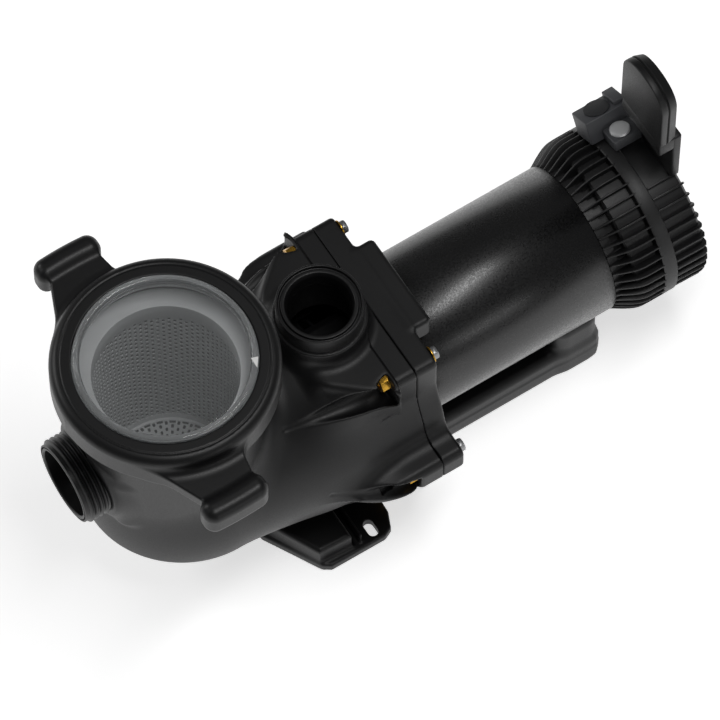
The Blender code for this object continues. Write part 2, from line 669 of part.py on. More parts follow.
def impeller():
    at = (0, 0, AXIS_Z)
    front = IMPELLER_X - IMPELLER_DEPTH
    bore = SHAFT_NOSE + GAP
    hub = turned([(0.015, IMPELLER_X), (0.015, IMPELLER_X - 0.007), (IMPELLER_RADIUS, IMPELLER_X - 0.007),
                  (IMPELLER_RADIUS, IMPELLER_X - 0.010), (0.016, IMPELLER_X - 0.012), (0.013, HUB_FRONT),
                  (SCREW_HOLE, HUB_FRONT), (SCREW_HOLE, NOSE_X - GAP), (bore, NOSE_X - GAP),
                  (bore, IMPELLER_X)], at, "X", 24)
    shroud = turned([(IMPELLER_RADIUS, IMPELLER_X - 0.022), (IMPELLER_RADIUS, IMPELLER_X - 0.0245),
                     (IMPELLER_EYE, IMPELLER_X - 0.0265), (IMPELLER_EYE, front),
                     (IMPELLER_EYE - 0.0025, front), (IMPELLER_EYE - 0.0025, IMPELLER_X - 0.0225)],
                    at, "X", 24)
    for i in range(6):
        outline = vane(radians(60 * i), 0.0145, IMPELLER_RADIUS - 0.0005)
        join(hub, prism([outline], 0.0145, (IMPELLER_X - 0.0235, 0, AXIS_Z), "X"))
    return piece(join(hub, shroud), "impeller", DARK_PLASTIC)


def impeller_screw():
    head = rod(0.0075, 0.004, (HUB_FRONT - GAP - 0.004, 0, AXIS_Z), "X", 6)
    shank = rod(SCREW_HOLE - GAP, 0.020, (HUB_FRONT - GAP - 0.001, 0, AXIS_Z), "X", 12)
    return piece(join(head, shank), "impeller_screw", STEEL)


def shaft_seal():
    at = (0, 0, AXIS_Z)
    inner = SHAFT_RADIUS + 2 * GAP
    face = SEAT_X - GAP
    head = turned([(0.0185, face - 0.0035), (0.0185, face - 0.010), (inner, face - 0.010), (inner, face),
                   (0.0165, face), (0.0165, face - 0.0035)], at, "X", 20)
    piece(head, "seal_head", CARBON)
    seat = ring_profile(SEAT_RADIUS - 0.0035, SHAFT_RADIUS + 0.003, SEAT_X, SEAT_X + SEAT_DEPTH - 0.0025)
    piece(turned(seat, at, "X", 20), "seal_seat", CERAMIC)
    back = SEAT_X + SEAT_DEPTH - GAP
    wall = SEAT_RADIUS - 0.0035 + GAP
    cup = turned([(SEAT_RADIUS, back), (SEAT_RADIUS, SEAT_X + 0.0005), (wall, SEAT_X + 0.0005),
                  (wall, back - 0.0019), (SHAFT_RADIUS + 0.004, back - 0.0019), (SHAFT_RADIUS + 0.004, back)],
                 at, "X", 20)
    piece(cup, "seal_seat_cup", RUBBER)
    spring(IMPELLER_X + GAP, face - 0.010 - GAP)


def spring(start, end):
    """The seal's coil spring, closed flat between the impeller and the seal head."""
    wire = 0.0007
    turns, per_turn = 3, 8
    curve = bpy.data.curves.new("spring", "CURVE")
    curve.dimensions = "3D"
    curve.bevel_depth = wire
    curve.bevel_resolution = 2
    curve.use_fill_caps = True
    spline = curve.splines.new("POLY")
    count = turns * per_turn
    spline.points.add(count)
    for i, point in enumerate(spline.points):
        angle = 2 * pi * i / per_turn
        place = start + wire + (end - start - 2 * wire) * i / count
        point.co = (0.0135 * cos(angle), 0.0135 * sin(angle), place, 1)
    return piece(as_mesh(curve, (0, 0, AXIS_Z), "X"), "seal_spring", STEEL)


# ---------------------------------------------------------------- motor
def motor_shaft():
    step = IMPELLER_X + GAP
    hole = SCREW_HOLE
    profile = [(0, FAN_X + 0.024), (SHAFT_RADIUS, FAN_X + 0.024), (SHAFT_RADIUS, step), (SHAFT_NOSE, step),
               (SHAFT_NOSE, NOSE_X), (hole, NOSE_X), (hole, NOSE_X + 0.016), (0, NOSE_X + 0.016)]
    return piece(turned(profile, (0, 0, AXIS_Z), "X", 24, ring=False), "motor_shaft", STEEL)


def motor_ring(name, look, outer, inner, start, end, steps=24):
    return piece(turned(ring_profile(outer, inner, start, end), (0, 0, AXIS_Z), "X", steps), name, look)


def motor_inside():
    on_shaft = SHAFT_RADIUS + GAP
    motor_ring("shaft_slinger", RUBBER, 0.019, on_shaft, PLATE_X - 0.008, PLATE_X - 0.004, 24)
    motor_ring("front_bearing", STEEL, BEARING_RADIUS, on_shaft, FRONT_BEARING_X,
               FRONT_BEARING_X + BEARING_WIDTH, 24)
    motor_ring("rear_bearing", STEEL, BEARING_RADIUS, on_shaft, REAR_BEARING_X,
               REAR_BEARING_X + BEARING_WIDTH, 24)
    start, end = PLATE_X + 0.055, MOTOR_END_X - 0.045
    motor_ring("stator_core", LAMINATION, SHELL_INNER - GAP, 0.050, start, end, 40)
    motor_ring("front_winding", COPPER, 0.074, 0.054, start - GAP - 0.018, start - GAP)
    motor_ring("rear_winding", COPPER, 0.074, 0.054, end + GAP, end + GAP + 0.018)
    motor_ring("rotor_core", LAMINATION, 0.0494, on_shaft, start + 0.001, end - 0.001)


def motor_shell():
    return motor_ring("motor_shell", BLACK_PAINT, MOTOR_RADIUS, SHELL_INNER, PLATE_X + GAP, MOTOR_END_X, 40)


def front_end_bell():
    outer = SHELL_INNER - GAP
    start = PLATE_X + 0.0085
    pocket = BEARING_RADIUS + GAP
    end = FRONT_BEARING_X + BEARING_WIDTH
    profile = [(0.034, end), (0.034, start + 0.008), (outer, start + 0.008), (outer, start),
               (0.014, start), (0.014, FRONT_BEARING_X - GAP), (pocket, FRONT_BEARING_X - GAP), (pocket, end)]
    return piece(turned(profile, (0, 0, AXIS_Z), "X", 40), "front_end_bell", CAST_ALLOY)


def fin_outline(root, tip, bare=(0, 0)):
    """A ring of straight fins, as seen from behind; none between the bare angles."""
    points = []
    pitch = 360 / FIN_COUNT
    for i in range(FIN_COUNT):
        angle = pitch * (i + 0.5)
        if bare[0] < angle < bare[1]:
            points += [(root * cos(radians(angle)), root * sin(radians(angle)))]
            continue
        for radius, side in ((root, -1), (tip, -1), (tip, 1), (root, 1)):
            turn = radians(angle) + side * FIN_THICKNESS / 2 / radius
            points.append((radius * cos(turn), radius * sin(turn)))
    return points


def rear_end_bell():
    at = (0, 0, AXIS_Z)
    start = MOTOR_END_X + GAP
    body = prism([fin_outline(FIN_ROOT, FIN_RADIUS + 0.003)], BAND_X - start, (start, 0, AXIS_Z), "X")
    envelope = turned([(0, BAND_X + 0.001), (FIN_RADIUS, BAND_X + 0.001), (FIN_RADIUS, start + FIN_RISE),
                       (FIN_ROOT + 0.0005, start - 0.0001), (0, start - 0.0001)], at, "X", FIN_COUNT,
                      ring=False)
    band = rod(BAND_RADIUS, BAND_LENGTH + 0.0005, (BAND_X - 0.0005, 0, AXIS_Z), "X", FIN_COUNT)
    deep = REAR_BEARING_X + BEARING_WIDTH + GAP
    hollow = turned([(DRUM_INNER, COVER_X + 0.001), (DRUM_INNER, start + 0.006), (0.034, start + 0.006),
                     (0.034, deep + 0.006), (0, deep + 0.006), (0, COVER_X + 0.001)], at, "X", 24,
                    ring=False)
    pocket = rod(BEARING_RADIUS + GAP, deep - start + 0.001, (start - 0.001, 0, AXIS_Z), "X", 24)
    hole = rod(SHAFT_RADIUS + 0.002, 0.06, (start, 0, AXIS_Z), "X", 24)
    keep(body, envelope)
    join(body, band)
    return piece(cut(body, hollow, pocket, hole), "rear_end_bell", CAST_ALLOY)


def cooling_fan():
    on_shaft = SHAFT_RADIUS + GAP
    body = turned([(0.018, FAN_X + 0.022), (0.018, FAN_X + 0.003), (FAN_RADIUS, FAN_X + 0.003),
                   (FAN_RADIUS, FAN_X), (on_shaft, FAN_X), (on_shaft, FAN_X + 0.022)],
                  (0, 0, AXIS_Z), "X", 32)
    for i in range(7):
        blade = block((FAN_X + 0.001, -0.00125, 0.016), (FAN_X + 0.021, 0.00125, FAN_RADIUS - 0.002))
        blade.location = (0, 0, AXIS_Z)
        blade.rotation_euler = (2 * pi * i / 7, 0, 0)
        join(body, blade)
    return piece(body, "cooling_fan", DARK_PLASTIC)


def fan_cover():
    start = COVER_X + GAP
    body = prism([fin_outline(REAR_ROOT, FIN_RADIUS, BARE_ANGLES)], REAR_X - start, (start, 0, AXIS_Z), "X")
    cut(body, rod(DRUM_INNER + 0.002, REAR_X - start - 0.003, (start - 0.001, 0, AXIS_Z), "X", 24))
    for i in range(8):
        slot = block((REAR_X - 0.01, -0.004, 0.026), (REAR_X + 0.01, 0.004, 0.066))
        slot.location = (0, 0, AXIS_Z)
        slot.rotation_euler = (2 * pi * i / 8, 0, 0)
        cut(body, slot)
    return piece(body, "fan_cover", CAST_ALLOY)


# ---------------------------------------------------------------- control and wiring
def saddle(obj):
    """Cut an object so that it sits over the finned drum, the band and the fan cover."""
    cut(obj, rod(FIN_RADIUS + GAP, COVER_X + GAP - MOTOR_END_X, (MOTOR_END_X, 0, AXIS_Z), "X", FIN_COUNT))
    return cut(obj, rod(REAR_ROOT + GAP, 0.06, (COVER_X, 0, AXIS_Z), "X", FIN_COUNT))


def tilted(low, high, degrees, rounding=0.0):
    """A box about the shaft axis, leaning towards +Y; its Z is the distance from the shaft."""
    return block((low[0], low[1], low[2] + AXIS_Z), (high[0], high[1], high[2] + AXIS_Z), rounding,
                 tilt=-radians(degrees), about=(0, 0, AXIS_Z))


def on_drum(x, radius, degrees, sideways=0.0):
    lean = radians(degrees)
    return (x, radius * sin(lean) + sideways * cos(lean), AXIS_Z + radius * cos(lean) - sideways * sin(lean))


def tilted_turn(profile, place, degrees, steps=20):
    obj = turned(profile, place, steps=steps, ring=False)
    obj.rotation_euler = (-radians(degrees), 0, 0)
    return obj


def terminal_box():
    low_x, high_x = BOX_X, BOX_X + BOX_LENGTH
    body = tilted((low_x, BOX_LEFT, 0.085), (high_x, BOX_RIGHT, BOX_TOP), BOX_LEAN)
    step = tilted((high_x - 0.0135, BOX_LEFT + 0.004, BOX_TOP - 0.002),
                  (high_x - 0.0005, BOX_RIGHT - 0.0005, BOX_TOP + 0.005), BOX_LEAN)
    inside = tilted((low_x + BOX_WALL, BOX_LEFT + BOX_WALL, 0.080),
                    (high_x - BOX_WALL, BOX_RIGHT - BOX_WALL, BOX_TOP - BOX_WALL), BOX_LEAN)
    join(body, step)
    cut(body, inside)
    saddle(body)
    hole = tilted_turn([(0, 0.02), (PLUG_BORE, 0.02), (PLUG_BORE, -0.02), (0, -0.02)], plug_place(), BOX_LEAN)
    return piece(cut(body, hole), "terminal_box", DARK_PLASTIC)


def plug_place():
    """Centre of the blanking plug on the box's sloping top."""
    return on_drum(BOX_X + 0.022, BOX_TOP, BOX_LEAN, (BOX_LEFT + BOX_RIGHT) / 2)


def conduit_plug():
    profile = [(0, 0.0015), (PLUG_HEAD, 0.0015), (PLUG_HEAD, GAP), (PLUG_BORE - GAP, GAP),
               (PLUG_BORE - GAP, -0.006), (0, -0.006)]
    return piece(tilted_turn(profile, plug_place(), BOX_LEAN), "conduit_plug", BLACK_PLASTIC)


def control_pedestal():
    """Pad with the metal plug, upright neck, and the corbel that carries the panel."""
    half = PANEL_HALF_WIDTH - 0.001
    neck_x = PANEL_X + NECK_SETBACK
    back_x = neck_x + NECK_THICKNESS
    top = AXIS_Z + PANEL_BOTTOM - GAP
    neck = block((neck_x, -half, AXIS_Z + 0.080), (back_x, half, top - 0.002))
    corbel = block((PANEL_X + 0.001, -half + 0.0005, top - CORBEL_HEIGHT),
                   (back_x - 0.0005, half - 0.0005, top))
    pad = tilted((PAD_X, -0.013, 0.085), (neck_x + 0.001, 0.008, PAD_TOP), PAD_LEAN)
    clear = tilted((BOX_X - 0.01, BOX_LEFT - GAP, 0.05), (BOX_X + BOX_LENGTH + GAP, 0.08, 0.20), BOX_LEAN)
    body = join(neck, corbel, pad)
    cut(body, clear)
    saddle(body)
    hole = tilted_turn([(0, 0.01), (0.0063, 0.01), (0.0063, -0.009), (0, -0.009)],
                       on_drum(PAD_X + PAD_PLUG, PAD_TOP, PAD_LEAN, -0.002), PAD_LEAN, 12)
    return piece(cut(body, hole), "control_pedestal", DARK_PLASTIC)


def access_plug():
    profile = [(0, 0.0045), (0.006, 0.0040), (0.009, 0.0025), (0.0098, GAP), (0.006, GAP), (0.006, -0.0085),
               (0, -0.0085)]
    obj = tilted_turn(profile, on_drum(PAD_X + PAD_PLUG, PAD_TOP, PAD_LEAN, -0.002), PAD_LEAN, 12)
    return piece(obj, "access_plug", STEEL)


def panel_outline(inset, steps=14):
    """The arch of the control panel: a flat foot, straight sides and a domed top."""
    half = PANEL_HALF_WIDTH - inset
    points = [(-half, PANEL_BOTTOM + inset), (half, PANEL_BOTTOM + inset)]
    for i in range(steps + 1):
        angle = pi * i / steps
        across = abs(cos(angle)) ** (2 / ARCH_POWER) * (1 if cos(angle) > 0 else -1)
        up = max(sin(angle), 0.0) ** (2 / ARCH_POWER)
        points.append((half * across, PANEL_SIDE_TOP + (PANEL_CROWN - inset) * up))
    return points


def control_panel():
    at = (PANEL_X, 0, AXIS_Z)
    back = prism([panel_outline(0)], PANEL_BACK, at, "X")
    cut(back, prism([panel_outline(PANEL_WALL)], PANEL_BACK, (PANEL_X + PANEL_WALL, 0, AXIS_Z), "X"))
    piece(back, "control_back_shell", DARK_PLASTIC)
    seam = PANEL_X + PANEL_BACK
    ring = [panel_outline(0.0006), panel_outline(PANEL_WALL - 0.0004)]
    piece(prism(ring, SEAM - 2 * GAP, (seam + GAP, 0, AXIS_Z), "X"), "control_gasket", RUBBER)
    front_x = seam + SEAM
    depth = PANEL_THICKNESS - PANEL_BACK - SEAM
    front = prism([panel_outline(0)], depth, (front_x, 0, AXIS_Z), "X")
    cut(front, prism([panel_outline(PANEL_WALL)], depth, (front_x - PANEL_WALL, 0, AXIS_Z), "X"))
    view = prism([rounded(0.020, 0.011, 0.002, 2)], 0.02, (front_x, 0, AXIS_Z + DISPLAY_RISE), "X")
    cut(front, view)
    piece(front, "control_front_shell", DARK_PLASTIC)
    face = PANEL_X + PANEL_THICKNESS
    window = prism([rounded(0.023, 0.014, 0.003, 2)], 0.0012, (face + GAP, 0, AXIS_Z + DISPLAY_RISE), "X")
    piece(window, "display_window", CLEAR_PLASTIC)
    keys = prism([rounded(0.026, 0.011, 0.003, 2)], 0.0010, (face + GAP, 0, AXIS_Z + KEYPAD_RISE), "X")
    piece(keys, "keypad", RUBBER)
    board_low = (seam - 0.001, -PANEL_HALF_WIDTH + 0.006, AXIS_Z + PANEL_BOTTOM + 0.006)
    board_high = (seam + 0.0006, PANEL_HALF_WIDTH - 0.006, AXIS_Z + PANEL_SIDE_TOP)
    piece(block(board_low, board_high), "control_board", GREEN_BOARD)


# ---------------------------------------------------------------- base
def foot_outline():
    """Plan of the foot and the rail, mirrored about the shaft's plane."""
    wide, narrow = FOOT_HALF_WIDTH, RAIL_HALF_WIDTH
    nose = STRAINER_X + 0.069
    half = [(nose, 0.058), (STRAINER_X + 0.104, wide - 0.006)]
    half += arc((STRAINER_X + 0.114, wide - 0.010), 0.010, 120, 90, 3)[1:]
    half += arc((0.011, wide - 0.010), 0.010, 90, 30, 3)
    half += [(0.025, wide - 0.022), (0.027, narrow + 0.010), (0.036, narrow)]
    half += [(RAIL_END_X - 0.020, narrow)]
    half += arc((RAIL_END_X - 0.020, narrow - 0.020), 0.020, 90, 0, 4)[1:]
    mirrored = [(x, -y) for x, y in reversed(half)]
    return (half + mirrored)[::-1]


def slot_outline(y):
    reach = SLOT_LENGTH / 2 - SLOT_HALF_WIDTH
    return arc((0, y + reach), SLOT_HALF_WIDTH, 0, 180, 6) + arc((0, y - reach), SLOT_HALF_WIDTH, 180, 360, 6)


def pump_base():
    body = prism([foot_outline(), slot_outline(SLOT_Y), slot_outline(-SLOT_Y)], FOOT_THICKNESS)
    nose = STRAINER_X + 0.069
    back = STRAINER_X + 0.143
    wide = FOOT_HALF_WIDTH - 0.008
    wedge = prism([[(nose + 0.004, -0.055), (back, -wide), (back, wide), (nose + 0.004, 0.055)]],
                  PEDESTAL_HEIGHT)
    wings = block((STRAINER_X + 0.108, -wide, 0), (back, wide, PEDESTAL_HEIGHT))
    rest = AXIS_Z - FLANGE_HALF_HEIGHT - GAP
    beam = block((back - 0.01, -RAIL_HALF_WIDTH, 0.002), (PLATE_X + 0.004, RAIL_HALF_WIDTH, rest))
    channel = block((PLATE_X + 0.002, -RAIL_HALF_WIDTH, 0.002),
                    (RAIL_END_X - 0.030, RAIL_HALF_WIDTH, RAIL_HEIGHT))
    cradle = prism([rounded(CRADLE_LENGTH / 2, RAIL_HALF_WIDTH, 0.019)], CRADLE_HEIGHT,
                   (RAIL_END_X - CRADLE_LENGTH / 2, 0, 0))
    join(body, wedge, wings, beam, channel, cradle)
    cut(body, barrel_solid(-GAP, FLANGE_X + 0.001))
    pad_outer = MOTOR_RADIUS + GAP + CRADLE_PAD + GAP
    cut(body, rod(pad_outer, 0.12, (RAIL_END_X - 0.10, 0, AXIS_Z), "X", 40))
    hollow = RAIL_HALF_WIDTH - 0.005
    cut(body, block((PLATE_X + 0.008, -hollow, -0.01),
                    (RAIL_END_X - 0.012, hollow, RAIL_HEIGHT - 0.006), 0.004))
    for x, y in base_screw_points():
        cut(body, rod(0.008, 0.0095, (x, y, -0.001), sides=12))
        cut(body, rod(SCREW_RADIUS + GAP, 0.05, (x, y, -0.001), sides=8))
    return piece(body, "pump_base", BLACK_PLASTIC)


def base_screws():
    for number, (x, y) in enumerate(base_screw_points(), 1):
        head = rod(0.0065, 0.004, (x, y, 0.004), sides=6)
        join(head, rod(SCREW_RADIUS, 0.030, (x, y, 0.0075), sides=8))
        piece(head, f"base_screw_{number}", STEEL)


def motor_cradle():
    inner = MOTOR_RADIUS + GAP
    start = RAIL_END_X - CRADLE_LENGTH + 0.006
    ring = turned(ring_profile(inner + CRADLE_PAD, inner, start, RAIL_END_X - 0.006), (0, 0, AXIS_Z), "X", 40)
    keep(ring, block((start - 0.01, -0.06, 0.02), (RAIL_END_X, 0.06, AXIS_Z - 0.04)))
    return piece(ring, "motor_cradle", RUBBER)


def build():
    pump_housing()
    seal_plate()
    housing_fasteners()
    housing_gasket()
    drains()
    strainer_cover()
    cover_seal()
    lock_ring()
    strainer_basket()
    diffuser()
    diffuser_seal()
    impeller()
    impeller_screw()
    shaft_seal()
    motor_shaft()
    motor_inside()
    motor_shell()
    front_end_bell()
    rear_end_bell()
    cooling_fan()
    fan_cover()
    terminal_box()
    conduit_plug()
    control_pedestal()
    access_plug()
    control_panel()
    pump_base()
    base_screws()
    motor_cradle()


build()
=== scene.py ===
"""Looks of the pool pump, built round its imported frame. Metres, +Z up, +X towards the motor."""
from math import cos, hypot, pi, radians, sin, sqrt

import bmesh
import bpy
import numpy as np
from mathutils import Matrix, Vector


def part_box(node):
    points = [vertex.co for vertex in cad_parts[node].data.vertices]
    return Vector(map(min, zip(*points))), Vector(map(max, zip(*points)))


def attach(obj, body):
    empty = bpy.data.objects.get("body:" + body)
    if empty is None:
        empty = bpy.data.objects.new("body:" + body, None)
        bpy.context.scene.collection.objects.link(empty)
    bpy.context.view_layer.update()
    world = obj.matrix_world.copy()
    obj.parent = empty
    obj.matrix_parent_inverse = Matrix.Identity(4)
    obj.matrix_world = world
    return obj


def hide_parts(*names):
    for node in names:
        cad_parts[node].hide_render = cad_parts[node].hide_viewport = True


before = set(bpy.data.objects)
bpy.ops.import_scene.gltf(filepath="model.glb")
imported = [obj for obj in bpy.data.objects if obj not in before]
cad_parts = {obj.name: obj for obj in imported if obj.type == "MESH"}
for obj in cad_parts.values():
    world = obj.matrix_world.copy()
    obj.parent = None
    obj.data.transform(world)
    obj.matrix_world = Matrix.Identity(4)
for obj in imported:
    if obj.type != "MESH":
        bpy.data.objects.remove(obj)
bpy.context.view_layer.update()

# ---------------------------------------------------------------- places read from the frame
GAP = 0.0003                    # clearance between pieces that touch

shell_low, shell_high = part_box("motor_shell")
cover_low, cover_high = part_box("strainer_cover")
housing_low, housing_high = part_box("pump_housing")
plate_low, plate_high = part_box("seal_plate")
ring_low, ring_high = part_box("lock_ring")
basket_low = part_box("strainer_basket")[0]
rear_low, rear_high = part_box("fan_cover")
base_low, base_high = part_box("pump_base")
panel_low, panel_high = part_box("control_back_shell")
front_low, front_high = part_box("control_front_shell")

SHAFT_Z = (shell_low[2] + shell_high[2]) / 2
TUBE_RADIUS = (shell_high[2] - shell_low[2]) / 2
POT_X = (cover_low[0] + cover_high[0]) / 2
RIM_Z = housing_high[2]
LEDGE_Z = RIM_Z - 0.018         # where the basket hangs
NECK_Z = RIM_Z - 0.048          # the bowl narrows below this
COVER_FLANGE_Z = RIM_Z + 0.0045
COVER_FLANGE_TOP = COVER_FLANGE_Z + 0.006
COVER_TOP = COVER_FLANGE_Z + 0.016
COVER_DISH = COVER_TOP - 0.0045
SPLIT_X = housing_high[0]
FLANGE_X = SPLIT_X - 0.026
PLATE_X = shell_low[0] - GAP
TUBE_END_X = shell_high[0]
SUCTION_X = housing_low[0]
SUCTION_Z = SHAFT_Z + 0.097
DISCHARGE_X = POT_X + 0.1785
DISCHARGE_Z = SHAFT_Z + 0.1724
BAND_START_X = TUBE_END_X + 0.0517
BAND_END_X = rear_low[0] - GAP - 0.0100
REAR_X = rear_high[0]

BOWL_RADIUS = 0.104
BOWL_NECK_RADIUS = 0.100
BOWL_FOOT_RADIUS = 0.088
ELBOW_RADIUS = 0.1055
ELBOW_X = POT_X + 0.020
BARREL_END_RADIUS = 0.1395
FLAT_HEIGHT = 0.127             # flats of the flange above and below the shaft
BOLTS = ((0.084, 0.118), (0.135, -0.004), (0.084, -0.117))
BOLT_HOLE_RADIUS = 0.0043
WALL = 0.006
SUCTION_BORE, SUCTION_NECK_RADIUS = 0.037, 0.053
DISCHARGE_BORE, DISCHARGE_STUB_RADIUS = 0.033, 0.048
DISCHARGE_LIP_HEIGHT = 0.022
EYE_RADIUS, VOLUTE_BORE = 0.031, 0.1083
FIN_RADIUS, FIN_START_RADIUS, FIN_ROOT_RADIUS = 0.0968, 0.0832, 0.0800
CELL = 0.0019                   # mesh cell of the large mouldings

X_AXIS, Z_AXIS = "X", "Z"
TURN = {
    X_AXIS: Matrix(((0, 0, 1), (1, 0, 0), (0, 1, 0))).to_4x4(),
    Z_AXIS: Matrix.Identity(4),
}


# ---------------------------------------------------------------- node and material helpers
def node(tree, kind, inputs=None, **settings):
    """Add one node with its settings; an input is a value or the socket that feeds it."""
    made = tree.nodes.new(kind)
    for key, value in settings.items():
        setattr(made, key, value)
    for key, value in (inputs or {}).items():
        if isinstance(value, bpy.types.NodeSocket):
            tree.links.new(value, made.inputs[key])
        else:
            made.inputs[key].default_value = value
    return made


def linear(code):
    """An sRGB hex colour as linear RGBA."""
    parts = [int(code[i:i + 2], 16) / 255 for i in (1, 3, 5)]
    return (*[c / 12.92 if c <= 0.04045 else ((c + 0.055) / 1.055) ** 2.4 for c in parts], 1.0)


def material(name, **values):
    """A Principled material with plain values on its own sockets."""
    made = bpy.data.materials.new(name)
    made.use_nodes = True
    shader = made.node_tree.nodes["Principled BSDF"]
    for key, value in values.items():
        socket = shader.inputs[key.replace("_", " ")]
        socket.default_value = linear(value) if isinstance(value, str) else value
    return made, made.node_tree, shader


def grained(name, dark, light, rough, grain_mm, grain_depth, swell_mm=40.0, spread=0.08, **values):
    """A surface whose colour drifts slowly, with a fine relief and matching roughness."""
    made, tree, shader = material(name, **values)
    place = node(tree, "ShaderNodeTexCoord").outputs["Object"]
    swell = node(tree, "ShaderNodeTexNoise", {"Vector": place, "Scale": 1000 / swell_mm, "Detail": 3.0})
    grain = node(tree, "ShaderNodeTexNoise", {"Vector": place, "Scale": 1000 / grain_mm, "Detail": 2.0})
    tone = node(tree, "ShaderNodeMix", {0: swell.outputs["Fac"], 6: linear(dark), 7: linear(light)},
                data_type="RGBA")
    gloss = node(tree, "ShaderNodeMapRange", {"Value": grain.outputs["Fac"], "From Min": 0.3, "From Max": 0.7,
                                              "To Min": rough - spread, "To Max": rough + spread})
    relief = node(tree, "ShaderNodeBump", {"Height": grain.outputs["Fac"], "Strength": 1.0,
                                           "Distance": grain_depth / 1000})
    tree.links.new(tone.outputs[2], shader.inputs["Base Color"])
    tree.links.new(gloss.outputs["Result"], shader.inputs["Roughness"])
    tree.links.new(relief.outputs["Normal"], shader.inputs["Normal"])
    return made


# ---------------------------------------------------------------- materials
# Glass-filled polypropylene, injection moulded in a spark-eroded tool: an even satin black.
BODY = grained("glass_filled_polypropylene_moulded", "#0a0a0b", "#0e0e0f", 0.46, 0.9, 0.030,
               Specular_IOR_Level=0.38)
# Polypropylene moulded in a finer tool: the ring and ports take a little more shine.
RING = grained("polypropylene_fine_texture", "#0a0a0b", "#0f0f10", 0.42, 0.8, 0.022,
               Specular_IOR_Level=0.38)
# Nylon, plain moulded: the dark grey of the blanking plug, impeller and fan.
GREY = grained("glass_filled_nylon_moulded", "#17181a", "#1f2023", 0.50, 0.8, 0.02, Specular_IOR_Level=0.4)
# Polyamide in a lighter grey, moulded: the wiring box and its pad.
BOX_GREY = grained("light_grey_polyamide_moulded", "#3b3c3e", "#45464a", 0.50, 0.8, 0.02)
# Steel tube, powder coated semi-gloss black: orange peel breaks the highlight into fine sparkle.
PAINT = grained("powder_coated_steel_orange_peel", "#080809", "#0b0b0c", 0.33, 1.9, 0.060, spread=0.10,
                Coat_Weight=0.25, Coat_Roughness=0.25)
# Aluminium die casting, black electro-coat: slightly rougher than the tube.
CASTING = grained("die_cast_aluminium_e_coated", "#0c0c0d", "#131314", 0.46, 1.0, 0.045)
# Polypropylene, natural light grey: the basket.
BASKET = grained("light_grey_polypropylene", "#a3a5a6", "#b2b4b5", 0.50, 1.2, 0.02)
# Nitrile rubber, moulded: matt black.
RUBBER = grained("nitrile_rubber_moulded", "#0d0d0d", "#131313", 0.75, 0.8, 0.03)
# Stainless steel, cold headed and tumbled: soft grey shine.
STEEL = grained("stainless_steel_cold_headed", "#8f9092", "#a4a5a6", 0.34, 1.5, 0.015, Metallic=1.0)
# Nickel-plated steel, satin: the round access plug reads almost white.
SILVER = grained("nickel_plated_steel_satin", "#d2d3d4", "#e2e3e4", 0.42, 1.5, 0.010, Metallic=0.6)
# Yellow brass, turned: warm and bright with fine tool marks.
BRASS = grained("yellow_brass_turned", "#b98a2e", "#d1a544", 0.28, 0.8, 0.012, Metallic=1.0)
# White ink, pad printed.
WHITE_INK = grained("white_pad_print_ink", "#e6e6e4", "#efefed", 0.5, 1.0, 0.005)
# Carbon, ceramic, copper, laminations and board: pieces that stay inside.
CARBON = grained("lapped_carbon", "#1b1b1c", "#242425", 0.35, 1.0, 0.01)
CERAMIC = grained("lapped_alumina_ceramic", "#dedbd2", "#e8e5dd", 0.25, 1.0, 0.005)
COPPER = grained("varnished_copper_wire", "#9a4f22", "#b8652f", 0.4, 1.4, 0.3, Metallic=1.0)
LAMINATION = grained("stamped_steel_lamination", "#6b6c6e", "#7f8082", 0.45, 0.7, 0.05, Metallic=1.0)
BOARD = grained("green_solder_mask", "#0f4a25", "#15602f", 0.4, 2.0, 0.02)
# Polycarbonate, polished: clear cover and display window; the thick rim carries a painted highlight.
CLEAR, _, _ = material("clear_polycarbonate_polished", Base_Color="#f2f5f6", Roughness=0.03, IOR=1.585,
                       Alpha=0.05, Specular_IOR_Level=1.0)
# Painted highlight: transmission held at 0.82 leaves the thick rim a white diffuse share, standing in for the
# bright lines that light makes in the clear plastic.
RIM_CLEAR_PAINTED_HIGHLIGHT, _, _ = material("clear_polycarbonate_thick_rim", Base_Color="#eef1f2", Roughness=0.05, IOR=1.585,
                           Transmission_Weight=0.82)
SMOKED, _, _ = material("smoked_polycarbonate_window", Base_Color="#15191b", Roughness=0.08, IOR=1.585)


# ---------------------------------------------------------------- mesh helpers
def mesh_from(build, name):
    """The mesh of a finished bmesh, which is freed."""
    mesh = bpy.data.meshes.new(name)
    build.to_mesh(mesh)
    build.free()
    return mesh


def as_object(name, mesh, look):
    mesh.materials.clear()
    mesh.materials.append(look)
    mesh.name = name
    made = bpy.data.objects.new(name, mesh)
    bpy.context.scene.collection.objects.link(made)
    return made


def from_points(points, faces, weld=0.0):
    """A mesh from arrays, welded and with its faces pointing out."""
    mesh = bpy.data.meshes.new("shape")
    mesh.from_pydata([tuple(p) for p in points], [], [tuple(f) for f in faces])
    build = bmesh.new()
    build.from_mesh(mesh)
    if weld:
        bmesh.ops.remove_doubles(build, verts=build.verts, dist=weld)
    bmesh.ops.recalc_face_normals(build, faces=build.faces)
    build.to_mesh(mesh)
    build.free()
    return mesh


def smooth(mesh, angle=35.0):
    mesh.shade_smooth()
    mesh.set_sharp_from_angle(angle=radians(angle))
    return mesh


def applied(obj, look=None):
    """Replace an object by its evaluated mesh, with its place in the mesh."""
    bpy.context.view_layer.update()
    mesh = bpy.data.meshes.new_from_object(obj.evaluated_get(bpy.context.evaluated_depsgraph_get()))
    mesh.transform(obj.matrix_world)
    name = obj.name
    finish = look or (obj.data.materials[0] if obj.data.materials else None)
    bpy.data.objects.remove(obj, do_unlink=True)
    return as_object(name, mesh, finish)


def with_bevel(obj, width, segments=3, angle=30.0):
    bevel = obj.modifiers.new("bevel", "BEVEL")
    bevel.width = width
    bevel.segments = segments
    bevel.limit_method = "ANGLE"
    bevel.angle_limit = radians(angle)
    made = applied(obj)
    smooth(made.data)
    return made


